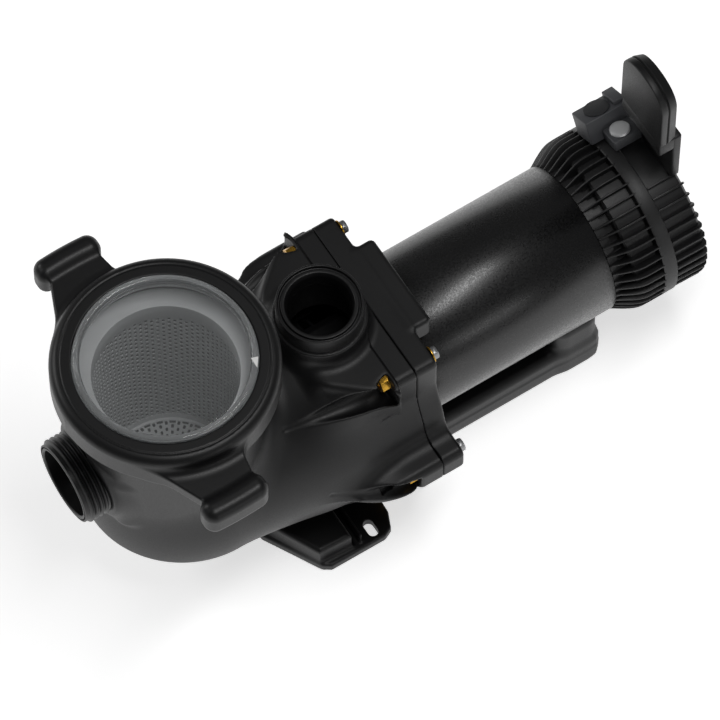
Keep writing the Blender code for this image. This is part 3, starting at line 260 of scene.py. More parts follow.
def merged(name, look, pieces):
    """Several finished pieces as one object."""
    build = bmesh.new()
    for made in pieces:
        build.from_mesh(made.data)
        bpy.data.objects.remove(made, do_unlink=True)
    return as_object(name, smooth(mesh_from(build, name)), look)


def eased(points, radius, steps=4, closed=True):
    """Round the corners of an outline, each limited by its shorter side."""
    out = []
    count = len(points)
    for i, corner in enumerate(points):
        if not closed and i in (0, count - 1):
            out.append(corner)
            continue
        here = Vector(corner)
        before, after = Vector(points[i - 1]) - here, Vector(points[(i + 1) % count]) - here
        reach = min(radius, before.length * 0.49, after.length * 0.49)
        start, end = here + before.normalized() * reach, here + after.normalized() * reach
        for k in range(steps + 1):
            t = k / steps
            out.append(tuple(start * (1 - t) ** 2 + here * 2 * t * (1 - t) + end * t ** 2))
    return out


def turned(name, look, profile, at=(0, 0, 0), axis=Z_AXIS, steps=128, ring=True, angle=35.0):
    """Turn a (radius, height) outline about an axis through a point."""
    angles = np.arange(steps) * 2 * pi / steps
    profile = np.array(profile)
    count = len(profile)
    radii, heights = profile[:, 0], profile[:, 1]
    points = np.stack([np.outer(np.cos(angles), radii), np.outer(np.sin(angles), radii),
                       np.tile(heights, (steps, 1))], -1).reshape(-1, 3)
    spans = count if ring else count - 1
    faces = [(i * count + j, (i + 1) % steps * count + j, (i + 1) % steps * count + (j + 1) % count,
              i * count + (j + 1) % count) for i in range(steps) for j in range(spans)]
    mesh = from_points(points, faces, weld=1e-6)
    mesh.transform(Matrix.Translation(at) @ TURN[axis])
    return as_object(name, smooth(mesh, angle), look)


def extruded(name, look, outline, start, depth, axis=X_AXIS, at=(0, 0, 0), bevel=0.0, segments=3):
    """A flat outline given thickness along an axis, with its rims eased."""
    build = bmesh.new()
    corners = [build.verts.new((u, v, start)) for u, v in outline]
    face = build.faces.new(corners)
    made = bmesh.ops.extrude_face_region(build, geom=[face])
    moved = [item for item in made["geom"] if isinstance(item, bmesh.types.BMVert)]
    bmesh.ops.translate(build, verts=moved, vec=(0, 0, depth))
    bmesh.ops.recalc_face_normals(build, faces=build.faces)
    mesh = mesh_from(build, name)
    mesh.transform(Matrix.Translation(at) @ TURN[axis])
    obj = as_object(name, mesh, look)
    if not bevel:
        smooth(mesh)
        return obj
    return with_bevel(obj, bevel, segments)


def brick(name, look, low, high, bevel=0.001, segments=3, turn=None):
    """A box between two corners with eased edges, which may be turned by a matrix."""
    build = bmesh.new()
    size = [b - a for a, b in zip(low, high)]
    middle = [(a + b) / 2 for a, b in zip(low, high)]
    bmesh.ops.create_cube(build, size=1.0, matrix=Matrix.Translation(middle) @ Matrix.Diagonal((*size, 1.0)))
    mesh = mesh_from(build, name)
    if turn:
        mesh.transform(turn)
    return with_bevel(as_object(name, mesh, look), bevel, segments)


# ---------------------------------------------------------------- moulded solids as distance fields
def blend_in(a, b, fillet):
    """Union with a fillet; negative is inside."""
    share = np.maximum(fillet - np.abs(a - b), 0.0) / fillet
    return np.minimum(a, b) - share * share * fillet * 0.25


def trim_by(a, b, fillet):
    """Intersection with an eased edge."""
    return -blend_in(-a, -b, fillet)


def take_out(a, b, fillet):
    return trim_by(a, -b, fillet)


def slab(u, v, w, centre, half, edge):
    """A box with round edges."""
    over = [np.abs(p - c) - h + edge for p, c, h in zip((u, v, w), centre, half)]
    outside = np.sqrt(sum(np.maximum(o, 0.0) ** 2 for o in over))
    return outside + np.minimum(np.maximum(np.maximum(over[0], over[1]), over[2]), 0.0) - edge


def met(a, b, edge):
    """Two faces that meet in a round edge; each is measured from where that edge starts."""
    return np.hypot(np.maximum(a, 0.0), np.maximum(b, 0.0)) + np.minimum(np.maximum(a, b), 0.0) - edge


def raised(plan, z, low, high, edge):
    """A plan outline given height, with its upper and lower rims eased."""
    return met(plan + edge, np.abs(z - (low + high) / 2) - (high - low) / 2 + edge, edge)


def pill(radial, along, radius, low, high, edge):
    """A round bar with eased rims, from its radial and axial places."""
    return raised(radial - radius, along, low, high, edge)


def taper(x, y, z, start, end, radius_start, radius_end):
    """A round cone with ball ends between two points."""
    run = [b - a for a, b in zip(start, end)]
    length2 = sum(r * r for r in run)
    along = ((x - start[0]) * run[0] + (y - start[1]) * run[1] + (z - start[2]) * run[2]) / length2
    along = np.clip(along, 0.0, 1.0)
    away = np.sqrt((x - start[0] - along * run[0]) ** 2 + (y - start[1] - along * run[1]) ** 2
                   + (z - start[2] - along * run[2]) ** 2)
    return away - radius_start - (radius_end - radius_start) * along


def beyond(u, v, start, end):
    """How far a point lies to the right of a line."""
    run = (end[0] - start[0], end[1] - start[1])
    return ((u - start[0]) * run[1] - (v - start[1]) * run[0]) / hypot(*run)


def slopes(field, points, step=0.0002):
    """Gradient of a field at each point."""
    out = np.empty_like(points)
    for i in range(3):
        shift = np.zeros(3)
        shift[i] = step
        ahead, behind = points + shift, points - shift
        out[:, i] = (field(*ahead.T) - field(*behind.T)) / (2 * step)
    return out


def drawn_on(field, points, reach, passes=3):
    """Move points onto the surface of a field."""
    for _ in range(passes):
        slope = slopes(field, points)
        push = field(*points.T) / np.maximum((slope ** 2).sum(1), 0.05)
        points = points - slope * np.clip(push, -reach, reach)[:, None]
    return points


def field_grid(field, low, high, cell):
    """Net of one point in each cell that the surface crosses, and its four-sided faces."""
    axes = [np.arange(a - 2 * cell, b + 2 * cell, cell) for a, b in zip(low, high)]
    value = field(*np.meshgrid(*axes, indexing="ij", sparse=True))
    value = np.broadcast_to(value, [len(a) for a in axes])
    inside = value < 0
    corners = np.array([(i, j, k) for i in (0, 1) for j in (0, 1) for k in (0, 1)])
    cells = [n - 1 for n in value.shape]
    full = sum(inside[i:i + cells[0], j:j + cells[1], k:k + cells[2]].astype(np.int8) for i, j, k in corners)
    mixed = (full > 0) & (full < 8)
    number = np.full(mixed.shape, -1, np.int64)
    number[mixed] = np.arange(mixed.sum())
    places = np.argwhere(mixed)
    total, hits = np.zeros((len(places), 3)), np.zeros(len(places))
    for a in corners:
        for b in corners:
            if (b - a).min() < 0 or (b - a).sum() != 1:
                continue
            first, second = value[tuple((places + a).T)], value[tuple((places + b).T)]
            crossed = (first < 0) != (second < 0)
            share = first[crossed] / (first[crossed] - second[crossed])
            total[crossed] += a + (b - a) * share[:, None]
            hits += crossed
    points = np.array([a[0] for a in axes]) + (places + total / hits[:, None]) * cell
    faces = []
    for d in range(3):
        u, v = (d + 1) % 3, (d + 2) % 3
        near, far = [slice(1, -1)] * 3, [slice(1, -1)] * 3
        near[d], far[d] = slice(None, -1), slice(1, None)
        before, after = inside[tuple(near)], inside[tuple(far)]
        flips = np.argwhere(before != after)
        outward = before[tuple(flips.T)]
        flips[:, u] += 1
        flips[:, v] += 1
        ring = []
        for du, dv in ((0, 0), (1, 0), (1, 1), (0, 1)):
            spot = flips.copy()
            spot[:, u] -= du
            spot[:, v] -= dv
            ring.append(number[tuple(spot.T)])
        quads = np.stack(ring, 1)
        quads[~outward] = quads[~outward][:, ::-1]
        faces.append(quads)
    return points, np.concatenate(faces)


MOST_TRIANGLES = 190000


def moulded(name, look, field, low, high, cell):
    """A skin on a field, thinned to at most MOST_TRIANGLES triangles, with its normals taken from the field.
    """
    points, faces = field_grid(field, low, high, cell)
    points = drawn_on(field, points, cell / 2)
    mesh = bpy.data.meshes.new(name)
    mesh.from_pydata(points, [], faces)
    obj = as_object(name, mesh, look)
    triangles = 2 * len(faces)
    if triangles > MOST_TRIANGLES:
        thin = obj.modifiers.new("thin", "DECIMATE")
        thin.ratio = MOST_TRIANGLES / triangles
        obj = applied(obj)
    mesh = obj.data
    places = np.empty(len(mesh.vertices) * 3)
    mesh.vertices.foreach_get("co", places)
    places = drawn_on(field, places.reshape(-1, 3), cell / 4, 1)
    mesh.vertices.foreach_set("co", places.ravel())
    mesh.shade_smooth()
    slope = slopes(field, places)
    slope /= np.maximum(np.linalg.norm(slope, axis=1), 1e-6)[:, None]
    mesh.normals_split_custom_set_from_vertices(slope)
    return obj


# ---------------------------------------------------------------- housing
def barrel_radius(x):
    share = np.maximum(x - ELBOW_X, 0.0) / (FLANGE_X - ELBOW_X)
    return ELBOW_RADIUS + (BARREL_END_RADIUS - ELBOW_RADIUS) * share ** 1.5


def rounded_plan(u, v, half_u, half_v, corner):
    """Signed distance to a rectangle with round corners."""
    return met(np.abs(u) - half_u + corner, np.abs(v) - half_v + corner, corner)


def lobed_outline(side, up):
    """Flange seen along the shaft: a tall plate with two lobes above, two below and one at each side."""
    plate = rounded_plan(side, up, 0.099, FLAT_HEIGHT, 0.010)
    bar = rounded_plan(side, up - BOLTS[1][1], 0.151, 0.0175, 0.009)
    disc = np.hypot(side, up) - 0.1185
    return blend_in(blend_in(plate, disc, 0.012), bar, 0.016)


def flange_field(side, up, x, start, end, front_edge, back_edge):
    body = lobed_outline(side, up)
    return trim_by(trim_by(body, start - x, front_edge), x - end, back_edge)


LOFT_START = FLANGE_X - 0.112
# Tip, mouth, mouth radius and outward bow of the scooped pocket in front of each bolt, on one side.
POCKETS = (
    ((FLANGE_X - 0.109, 0.0672, 0.0942), (FLANGE_X, 0.0900, 0.1100), 0.0185, 0.0060),
    ((FLANGE_X - 0.087, 0.1205, 0.0110), (FLANGE_X, 0.1430, -0.0055), 0.0135, 0.0090),
    ((FLANGE_X - 0.109, 0.0672, -0.0942), (FLANGE_X, 0.0900, -0.1100), 0.0185, 0.0060),
)


def scoop_field(x, side, up, tip, mouth, size, bow):
    """Leaf-shaped hollow that widens from its tip to the flange along a bowed line."""
    share = np.clip((x - tip[0]) / (mouth[0] - tip[0]), 0.0, 1.0)
    lift = bow * 4 * share * (1 - share) / hypot(mouth[1], mouth[2])
    scoop = taper(x, side - lift * mouth[1], up - lift * mouth[2], tip, mouth, 0.0014, size)
    return trim_by(scoop, x - FLANGE_X, 0.003)


def skin_field(x, side, up):
    """Barrel that swells from a circle into the lobes of the flange."""
    share = np.clip((x - LOFT_START) / (FLANGE_X - LOFT_START), 0.0, 1.0)
    share = share * share * (3 - 2 * share)
    round_part = np.hypot(side, up) - barrel_radius(x)
    return round_part * (1 - share) + lobed_outline(side, up) * share


def housing_field(x, y, z):
    side, up, pot = np.abs(y), z - SHAFT_Z, np.hypot(x - POT_X, y)
    drop = np.clip((NECK_Z - z) / (NECK_Z - SHAFT_Z + 0.020), 0.0, 1.0)
    bowl_radius = BOWL_NECK_RADIUS - (BOWL_NECK_RADIUS - BOWL_FOOT_RADIUS) * drop
    bowl = pill(pot, z, bowl_radius, SHAFT_Z - 0.02, RIM_Z, 0.001)
    lip = pill(pot, z, BOWL_RADIUS, RIM_Z - 0.042, RIM_Z, 0.0015)
    from_shaft = np.hypot(side, up)
    elbow = np.sqrt((x - ELBOW_X) ** 2 + side ** 2 + up ** 2) - ELBOW_RADIUS
    barrel = np.maximum(np.maximum(skin_field(x, side, up), ELBOW_X - x), x - FLANGE_X - 0.002)
    barrel = np.minimum(barrel, elbow)
    from_port = np.hypot(x - DISCHARGE_X, y)
    stub = pill(from_port, z, DISCHARGE_STUB_RADIUS, SHAFT_Z + 0.1, DISCHARGE_Z - DISCHARGE_LIP_HEIGHT, 0.002)
    barrel = trim_by(barrel, np.abs(up) - FLAT_HEIGHT, 0.010)
    roof_edge = 0.060 + np.clip(x - FLANGE_X + 0.060, 0.0, 1.0) * 0.80
    roof = trim_by(trim_by(up - FLAT_HEIGHT, side - roof_edge, 0.008), FLANGE_X - 0.066 - x, 0.016)
    roof = np.maximum(np.maximum(roof, x - FLANGE_X - 0.002), 0.080 - up)
    barrel = blend_in(barrel, roof, 0.012)
    body = blend_in(barrel, blend_in(bowl, lip, 0.006), 0.026)
    flange = flange_field(side, up, x, FLANGE_X - 0.002, SPLIT_X, 0.002, 0.0010)
    body = np.minimum(body, trim_by(flange, np.abs(up) - FLAT_HEIGHT, 0.003))
    from_inlet = np.hypot(y, z - SUCTION_Z)
    neck = pill(from_inlet, x, SUCTION_NECK_RADIUS, SUCTION_X + 0.0285, POT_X, 0.003)
    body = blend_in(body, neck, 0.012)
    web = slab(x, y, z, (SUCTION_X + 0.052, 0, SUCTION_Z - 0.004), (0.017, 0.056, 0.050), 0.012)
    body = blend_in(body, web, 0.010)
    body = blend_in(body, stub, 0.012)
    for place_x, face, drain_z in drain_places():
        boss = pill(np.hypot(x - place_x, z - drain_z), y, 0.014, face - 0.04, face, 0.002)
        body = blend_in(body, boss, 0.006)
    for pocket in POCKETS:
        body = take_out(body, scoop_field(x, side, up, *pocket), 0.0035)

    well = pill(pot, z, BOWL_RADIUS - 0.009, LEDGE_Z, RIM_Z + 0.02, 0.001)
    funnel = np.clip((LEDGE_Z - z) / (LEDGE_Z - SHAFT_Z), 0.0, 1.0)
    pit = pill(pot, z, BOWL_RADIUS - 0.015 - funnel * 0.007, SHAFT_Z - 0.02, RIM_Z, 0.004)
    body = take_out(take_out(body, well, 0.001), pit, 0.001)
    chamber = np.minimum(np.maximum(from_shaft - barrel_radius(x) + WALL, ELBOW_X - x), elbow + WALL)
    chamber = np.maximum(chamber, x - DISCHARGE_X + 0.053)
    body = take_out(body, chamber, 0.002)
    volute = pill(from_shaft, x, VOLUTE_BORE, DISCHARGE_X - 0.045, SPLIT_X + 0.02, 0.002)
    body = take_out(body, volute, 0.002)
    eye = pill(from_shaft, x, EYE_RADIUS, DISCHARGE_X - 0.06, SPLIT_X, 0.001)
    inlet = pill(from_inlet, x, SUCTION_BORE, SUCTION_X, POT_X - 0.05, 0.001)
    outlet = pill(from_port, z, DISCHARGE_BORE, SHAFT_Z + 0.085, DISCHARGE_Z, 0.001)
    for bore in (eye, inlet, outlet):
        body = take_out(body, bore, 0.001)
    for across, bolt_up in BOLTS:
        hole = np.maximum(np.hypot(side - across, up - bolt_up) - BOLT_HOLE_RADIUS, FLANGE_X - 0.040 - x)
        body = np.maximum(body, -hole)
    return body


def drain_places():
    for x, drop in ((ELBOW_X, 0.070), (DISCHARGE_X - 0.010, 0.085)):
        yield x, sqrt(float(barrel_radius(x)) ** 2 - drop ** 2) + 0.012, SHAFT_Z - drop


def make_housing():
    low = (SUCTION_X + 0.0275, housing_low[1], housing_low[2])
    return moulded("pump_housing_shell", BODY, housing_field, low, (SPLIT_X, housing_high[1], RIM_Z), CELL)


def thread_profile(low, high, root, crest, turns):
    """Outer side of a threaded sleeve: rounded ridges along its length."""
    pitch = (high - low) / turns
    out = []
    for i in range(turns):
        base = low + i * pitch
        out += [(root, base + pitch * 0.08), (crest, base + pitch * 0.36), (crest, base + pitch * 0.64),
                (root, base + pitch * 0.92)]
    return out


def suction_port():
    """Male-threaded port with its inner ring and groove."""
    length = 0.0282
    ridges = eased(thread_profile(0.0040, length - 0.0015, 0.0436, 0.0465, 4), 0.0006, 3, closed=False)
    profile = [(SUCTION_BORE, length), (SUCTION_BORE, 0.0012), (0.0382, 0.0), (0.0402, 0.0), (0.0406, 0.0022),
               (0.0414, 0.0022), (0.0418, 0.0), (0.0436, 0.0006)] + ridges + [(0.0445, length)]
    return turned("suction_thread", RING, profile, (SUCTION_X, 0, SUCTION_Z), X_AXIS, 160)


def discharge_port():
    """Upright port: a socket with an inner ring, a groove and a thinner lip."""
    low, high = DISCHARGE_Z - 0.0222, DISCHARGE_Z
    profile = [(DISCHARGE_BORE, low), (0.0445, low), (0.0445, high), (0.0418, high), (0.0418, high - 0.004),
               (0.0392, high - 0.004), (0.0392, high - 0.001), (0.0352, high - 0.001),
               (DISCHARGE_BORE, high - 0.006)]
    return turned("discharge_lip", RING, eased(profile, 0.0009, 3), (DISCHARGE_X, 0, 0), steps=160)


def seal_plate_field(x, y, z):
    side, up = np.abs(y), z - SHAFT_Z
    radial = np.hypot(side, up)
    start, end = SPLIT_X + GAP, PLATE_X
    body = trim_by(flange_field(side, up, x, start, end, 0.0010, 0.004), np.abs(up) - FLAT_HEIGHT, 0.003)
    roof = slab(x, y, up, (end + 0.008, 0, FLAT_HEIGHT - 0.016), (0.0130, 0.055, 0.0160), 0.0055)
    body = blend_in(body, roof, 0.006)
    body = trim_by(body, up - FLAT_HEIGHT, 0.003)
    spigot = np.maximum(pill(radial, x, 0.1075, SPLIT_X - 0.010, end, 0.001), 0.098 - radial)
    body = np.minimum(body, spigot)
    register = np.maximum(pill(radial, x, TUBE_RADIUS - 0.0030, start, end + 0.006, 0.001), 0.072 - radial)
    body = np.minimum(body, register)
    relief = np.maximum(pill(radial, x, 0.068, SPLIT_X + 0.010, end + 0.02, 0.002), 0.034 - radial)
    body = take_out(body, relief, 0.002)
    body = np.minimum(body, pill(radial, x, 0.0315, SPLIT_X - 0.010, SPLIT_X + 0.012, 0.001))
    behind = pill(radial, x, 0.0345, end - 0.011, end + 0.02, 0.001)
    bore = pill(radial, x, 0.0125, SPLIT_X - 0.05, end + 0.05, 0.001)
    seat = pill(radial, x, 0.0218, SPLIT_X - 0.02, SPLIT_X - 0.001, 0.0005)
    for hollow in (behind, bore, seat):
        body = take_out(body, hollow, 0.001)
    for across, bolt_up in BOLTS:
        body = np.maximum(body, BOLT_HOLE_RADIUS - np.hypot(side - across, up - bolt_up))
    return body


def make_seal_plate():
    return moulded("seal_plate_casting", BODY, seal_plate_field, plate_low, plate_high, CELL)


# ---------------------------------------------------------------- repeats by geometry nodes
def tree_with(name, numbers):
    """A geometry tree with a geometry input and named number inputs."""
    tree = bpy.data.node_groups.new(name, "GeometryNodeTree")
    tree.interface.new_socket("Geometry", in_out="INPUT", socket_type="NodeSocketGeometry")
    tree.interface.new_socket("Geometry", in_out="OUTPUT", socket_type="NodeSocketGeometry")
    for label, kind in numbers.items():
        tree.interface.new_socket(label, in_out="INPUT", socket_type=kind)
    return tree, node(tree, "NodeGroupInput").outputs, node(tree, "NodeGroupOutput").inputs


def through(obj, tree, **values):
    """Run an object through a tree, its inputs set by identifier, and keep the plain mesh."""
    run = obj.modifiers.new(tree.name, "NODES")
    run.node_group = tree
    for item in tree.interface.items_tree:
        label = item.name.replace(" ", "_")
        if item.in_out == "INPUT" and label in values:
            run[item.identifier] = values[label]
    obj.update_tag()
    made = applied(obj, values.get("Finish"))
    smooth(made.data)
    return made


def maths(tree, operation, *values):
    """The result of a Math node on sockets or numbers."""
    return node(tree, "ShaderNodeMath", dict(enumerate(values)), operation=operation).outputs[0]


def copies_on(tree, points, instance, turn=None):
    """Instances of a geometry on points, each turned by a rotation socket."""
    inputs = {"Points": points, "Instance": instance}
    if turn:
        inputs["Rotation"] = turn
    return node(tree, "GeometryNodeInstanceOnPoints", inputs).outputs["Instances"]


def realised(tree, instances):
    return node(tree, "GeometryNodeRealizeInstances", {"Geometry": instances}).outputs["Geometry"]


def end_tree(tree, geometry, finish, result):
    """Set the material, and lead the geometry out."""
    coloured = node(tree, "GeometryNodeSetMaterial", {"Geometry": geometry, "Material": finish})
    tree.links.new(coloured.outputs["Geometry"], result["Geometry"])
    return tree


def round_tree():
    """Copies of a piece spread about a line along X."""
    tree, inside, result = tree_with("spread_about_shaft", {
        "Count": "NodeSocketInt", "Start": "NodeSocketFloat", "Sweep": "NodeSocketFloat",
        "Centre": "NodeSocketVector", "Finish": "NodeSocketMaterial"})
    line = node(tree, "GeometryNodeMeshLine", {"Count": inside["Count"], "Start Location": inside["Centre"],
                                               "Offset": (0, 0, 0)})
    step = maths(tree, "DIVIDE", inside["Sweep"], inside["Count"])
    index = node(tree, "GeometryNodeInputIndex").outputs[0]
    angle = maths(tree, "MULTIPLY_ADD", index, step, inside["Start"])
    turn = node(tree, "ShaderNodeCombineXYZ", {"X": angle})
    copies = copies_on(tree, line.outputs["Mesh"], inside["Geometry"], turn.outputs[0])
    return end_tree(tree, realised(tree, copies), inside["Finish"], result)


def place_tree():
    """Copies of a fastener on given points."""
    tree, inside, result = tree_with("fasteners_on_points", {
        "Fastener": "NodeSocketObject", "Finish": "NodeSocketMaterial"})
    one = node(tree, "GeometryNodeObjectInfo", {"Object": inside["Fastener"]})
    copies = copies_on(tree, inside["Geometry"], one.outputs["Geometry"])
    return end_tree(tree, realised(tree, copies), inside["Finish"], result)


def sieve_tree():
    """A flat pattern of pierced cells, laid out in columns and rolled into a tapered wall or a floor."""
    tree, inside, result = tree_with("rolled_sieve", {
        "Columns": "NodeSocketInt", "Rows": "NodeSocketInt", "First Radius": "NodeSocketFloat",
        "Radius Change": "NodeSocketFloat", "Rise": "NodeSocketFloat", "Centre": "NodeSocketVector",
        "Finish": "NodeSocketMaterial"})
    line = node(tree, "GeometryNodeMeshLine", {"Count": inside["Columns"], "Offset": (1, 0, 0)})
    odd = maths(tree, "MODULO", node(tree, "GeometryNodeInputIndex").outputs[0], 2.0)
    lift = node(tree, "ShaderNodeCombineXYZ", {"Y": maths(tree, "MULTIPLY", odd, 0.5)})
    staggered = node(tree, "GeometryNodeSetPosition", {"Geometry": line.outputs["Mesh"],
                                                       "Offset": lift.outputs[0]})
    column = node(tree, "GeometryNodeMeshLine", {"Count": inside["Rows"], "Offset": (0, 1, 0)})
    stack = copies_on(tree, column.outputs["Mesh"], inside["Geometry"])
    sheet = realised(tree, copies_on(tree, staggered.outputs["Geometry"], stack))
    flat = node(tree, "ShaderNodeSeparateXYZ", {0: node(tree, "GeometryNodeInputPosition").outputs[0]})
    angle = maths(tree, "MULTIPLY", maths(tree, "DIVIDE", flat.outputs["X"], inside["Columns"]), 2 * pi)
    share = maths(tree, "DIVIDE", flat.outputs["Y"], inside["Rows"])
    radius = maths(tree, "MULTIPLY_ADD", share, inside["Radius Change"], inside["First Radius"])
    place = node(tree, "ShaderNodeCombineXYZ", {
        "X": maths(tree, "MULTIPLY", maths(tree, "COSINE", angle), radius),
        "Y": maths(tree, "MULTIPLY", maths(tree, "SINE", angle), radius),
        "Z": maths(tree, "MULTIPLY", share, inside["Rise"])})
    rolled = node(tree, "GeometryNodeSetPosition", {"Geometry": sheet, "Position": place.outputs[0],
                                                    "Offset": inside["Centre"]})
    welded = node(tree, "GeometryNodeMergeByDistance", {"Geometry": rolled.outputs["Geometry"],
                                                        "Distance": 0.00003})
    return end_tree(tree, welded.outputs["Geometry"], inside["Finish"], result)


ROUND = round_tree()
ON_POINTS = place_tree()
SIEVE = sieve_tree()


# ---------------------------------------------------------------- fasteners
WASHER_THICKNESS = 0.0016


def bolt_points(x):
    return [(x, side * across, SHAFT_Z + up) for side in (-1, 1) for across, up in BOLTS]


def hexagon(radius, turn=0.0):
    return [(radius * cos(turn + i * pi / 3), radius * sin(turn + i * pi / 3)) for i in range(6)]


def on_bolts(name, look, one, x):
    """Copies of one fastener, made at the origin along X, on all six bolt lines."""
    mesh = bpy.data.meshes.new(name)
    mesh.from_pydata(bolt_points(x), [], [])
    made = through(as_object(name, mesh, look), ON_POINTS, Fastener=one, Finish=look)
    bpy.data.objects.remove(one, do_unlink=True)
    return made


def domed_hexagon(name, look, radius, start, depth, hole=0.0):
    """A hexagon whose corners are turned off by a cone, as on any bolt head or nut."""
    nut = extruded(name, look, hexagon(radius), start, depth)
    chamfer = turned("chamfer", look, [(0, start - 0.001), (radius - 0.0008, start - 0.001),
                                       (radius + 0.0004, start + 0.0012),
                                       (radius + 0.0004, start + depth - 0.0016),
                                       (radius - 0.0014, start + depth), (0, start + depth)],
                     axis=X_AXIS, steps=48, ring=False)
    crop = nut.modifiers.new("crop", "BOOLEAN")
    crop.operation = "INTERSECT"
    crop.object = chamfer
    if hole:
        bore = turned("bore", look, [(0, start - 0.01), (hole, start - 0.01), (hole, start + depth + 0.01),
                                     (0, start + depth + 0.01)], axis=X_AXIS, steps=24, ring=False)
        open_it = nut.modifiers.new("bore", "BOOLEAN")
        open_it.object = bore
    made = applied(nut)
    bpy.data.objects.remove(chamfer, do_unlink=True)
    if hole:
        bpy.data.objects.remove(bore, do_unlink=True)
    return with_bevel(made, 0.0003, 2)


def bolts():
    head = domed_hexagon("one_head", STEEL, 0.0075, 0.0, 0.0060)
    shank_length = PLATE_X + WASHER_THICKNESS - (FLANGE_X - 0.0085)
    shank = turned("one_shank", STEEL, eased([(0, -shank_length), (0.0039, -shank_length), (0.0039, 0.0005),
                                              (0, 0.0005)], 0.0006, 3, closed=False), axis=X_AXIS, steps=24,
                   ring=False)
    one = merged("one_bolt", STEEL, [head, shank])
    return on_bolts("housing_bolts", STEEL, one, PLATE_X + WASHER_THICKNESS)


def washers():
    one = turned("one_washer", BRASS, eased([(0.0044, 0.0001), (0.0093, 0.0001), (0.0093, 0.0015),
                                             (0.0044, 0.0015)], 0.0003, 2), axis=X_AXIS, steps=48)
    return on_bolts("bolt_washers", BRASS, one, PLATE_X)


def nuts():
    one = domed_hexagon("one_nut", BRASS, 0.0100, 0.0, 0.0098, hole=0.0042)
    return on_bolts("housing_nuts", BRASS, one, FLANGE_X - 0.0101)


# ---------------------------------------------------------------- strainer
RING_RADIUS, RING_WINDOW, RING_SKIRT = 0.1145, 0.0923, 0.022
ARM_THICKNESS, ARM_REACH = 0.016, 0.142
GRIP_MIDDLE, GRIP_HALF = (-0.018, 0.1568, RIM_Z - 0.016), (0.036, 0.0132, 0.019)


def lock_ring_field(x, y, z):
    u, side = x - POT_X, np.abs(y)
    pot = np.hypot(u, side)
    top, foot = ring_high[2], RIM_Z - RING_SKIRT
    body = pill(pot, z, RING_RADIUS, foot - 0.02, top, 0.0105)
    body = trim_by(body, foot - z, 0.003)
    arm_top = RIM_Z - 0.0035
    arm = trim_by(beyond(u, -side, (-0.073, -0.080), (-0.046, -ARM_REACH)),
                  beyond(u, -side, (0.0225, -0.080), (0.012, -ARM_REACH)) * -1, 0.004)
    arm = trim_by(arm, np.maximum(side - 0.152, 0.095 - pot), 0.002)
    arm = trim_by(trim_by(arm, z - arm_top, 0.003), arm_top - ARM_THICKNESS - z, 0.003)
    body = blend_in(body, arm, 0.012)
    bow = 0.0018 * ((u - GRIP_MIDDLE[0]) / GRIP_HALF[0]) ** 2
    grip = slab(u, side + bow, z, GRIP_MIDDLE, GRIP_HALF, 0.0115)
    body = blend_in(body, grip, 0.005)
    body = take_out(body, pill(pot, z, BOWL_RADIUS + 0.0006, 0.2, COVER_FLANGE_TOP + GAP, 0.001), 0.001)
    body = take_out(body, pill(pot, z, RING_WINDOW, 0.3, top + 0.02, 0.001), 0.0015)
    rim_groove = np.hypot(pot - 0.1040, z - top - 0.0004) - 0.0011
    return take_out(body, rim_groove, 0.0008)


def make_lock_ring():
    return moulded("lock_ring_moulding", RING, lock_ring_field, ring_low, ring_high, 0.00135)


def cover_window():
    """Clear disc with its shallow dish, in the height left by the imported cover."""
    floor = COVER_DISH
    profile = [(0.0, floor), (0.0825, floor), (0.0838, floor - 0.0004), (0.0838, floor - 0.0050),
               (0.0825, floor - 0.0055), (0.0, floor - 0.0055)]
    return turned("cover_window", CLEAR, profile, (POT_X, 0, 0), steps=160, ring=False)


def cover_rim():
    """Thick clear rim, seal flange and skirt of the cover; its finish holds a painted highlight."""
    flange_low, top, floor = COVER_FLANGE_Z, COVER_TOP, COVER_DISH
    outline = [(0.0840, floor - 0.0004), (0.0845, floor), (0.0853, top - 0.0006), (0.0860, top),
               (0.0895, top), (0.0915, top - 0.0020), (0.0915, COVER_FLANGE_TOP), (0.1013, COVER_FLANGE_TOP),
               (0.1013, flange_low), (0.0935, flange_low), (0.0935, flange_low - 0.0078),
               (0.0892, flange_low - 0.0078), (0.0860, flange_low - 0.001), (0.0840, floor - 0.0050)]
    return turned("cover_rim", RIM_CLEAR_PAINTED_HIGHLIGHT, eased(outline, 0.0006, 2), (POT_X, 0, 0), steps=160)


def pointer():
    """White triangle printed on the cover's rim; it shows where the ring's grip stops."""
    corners = ((0.0838, -33.5), (0.0912, -32.4), (0.0912, -40.2))
    outline = [(POT_X + r * cos(radians(a)), r * sin(radians(a))) for r, a in corners]
    return extruded("cover_pointer", WHITE_INK, outline[::-1], COVER_TOP, 0.0003, Z_AXIS)


def sieve_cell(width, height):
    """One cell of the sieve: a unit patch with a long hole, with both faces and the hole's wall."""
    across, up = width / 2, height / 2
    frame_points = [(-0.5, -0.5), (0.5, -0.5), (0.5, 0.0), (0.5, 0.5), (-0.5, 0.5), (-0.5, 0.0)]
    hole_points = [(-across * 0.7, -up), (across * 0.7, -up), (across, 0.0), (across * 0.7, up),
                   (-across * 0.7, up), (-across, 0.0)]
    points = [(u + 0.5, v + 0.5, 0.0) for u, v in frame_points + hole_points]
    faces = [(i, (i + 1) % 6, 6 + (i + 1) % 6, 6 + i) for i in range(6)]
    mesh = bpy.data.meshes.new("sieve_cell")
    mesh.from_pydata(points, [], faces)
    return as_object("sieve_cell", mesh, BASKET)


def sieve(name, columns, rows, hole, first_radius, change, rise, low_z):
    """A pierced wall or floor with thickness."""
    made = through(sieve_cell(*hole), SIEVE, Columns=columns, Rows=rows, First_Radius=first_radius,
                   Radius_Change=change, Rise=rise, Centre=(POT_X, 0.0, low_z), Finish=BASKET)
    made.name = name
    thick = made.modifiers.new("wall", "SOLIDIFY")
    thick.thickness = 0.0010
    thick.offset = 0.0
    made = applied(made)
    smooth(made.data, 40)
    return made


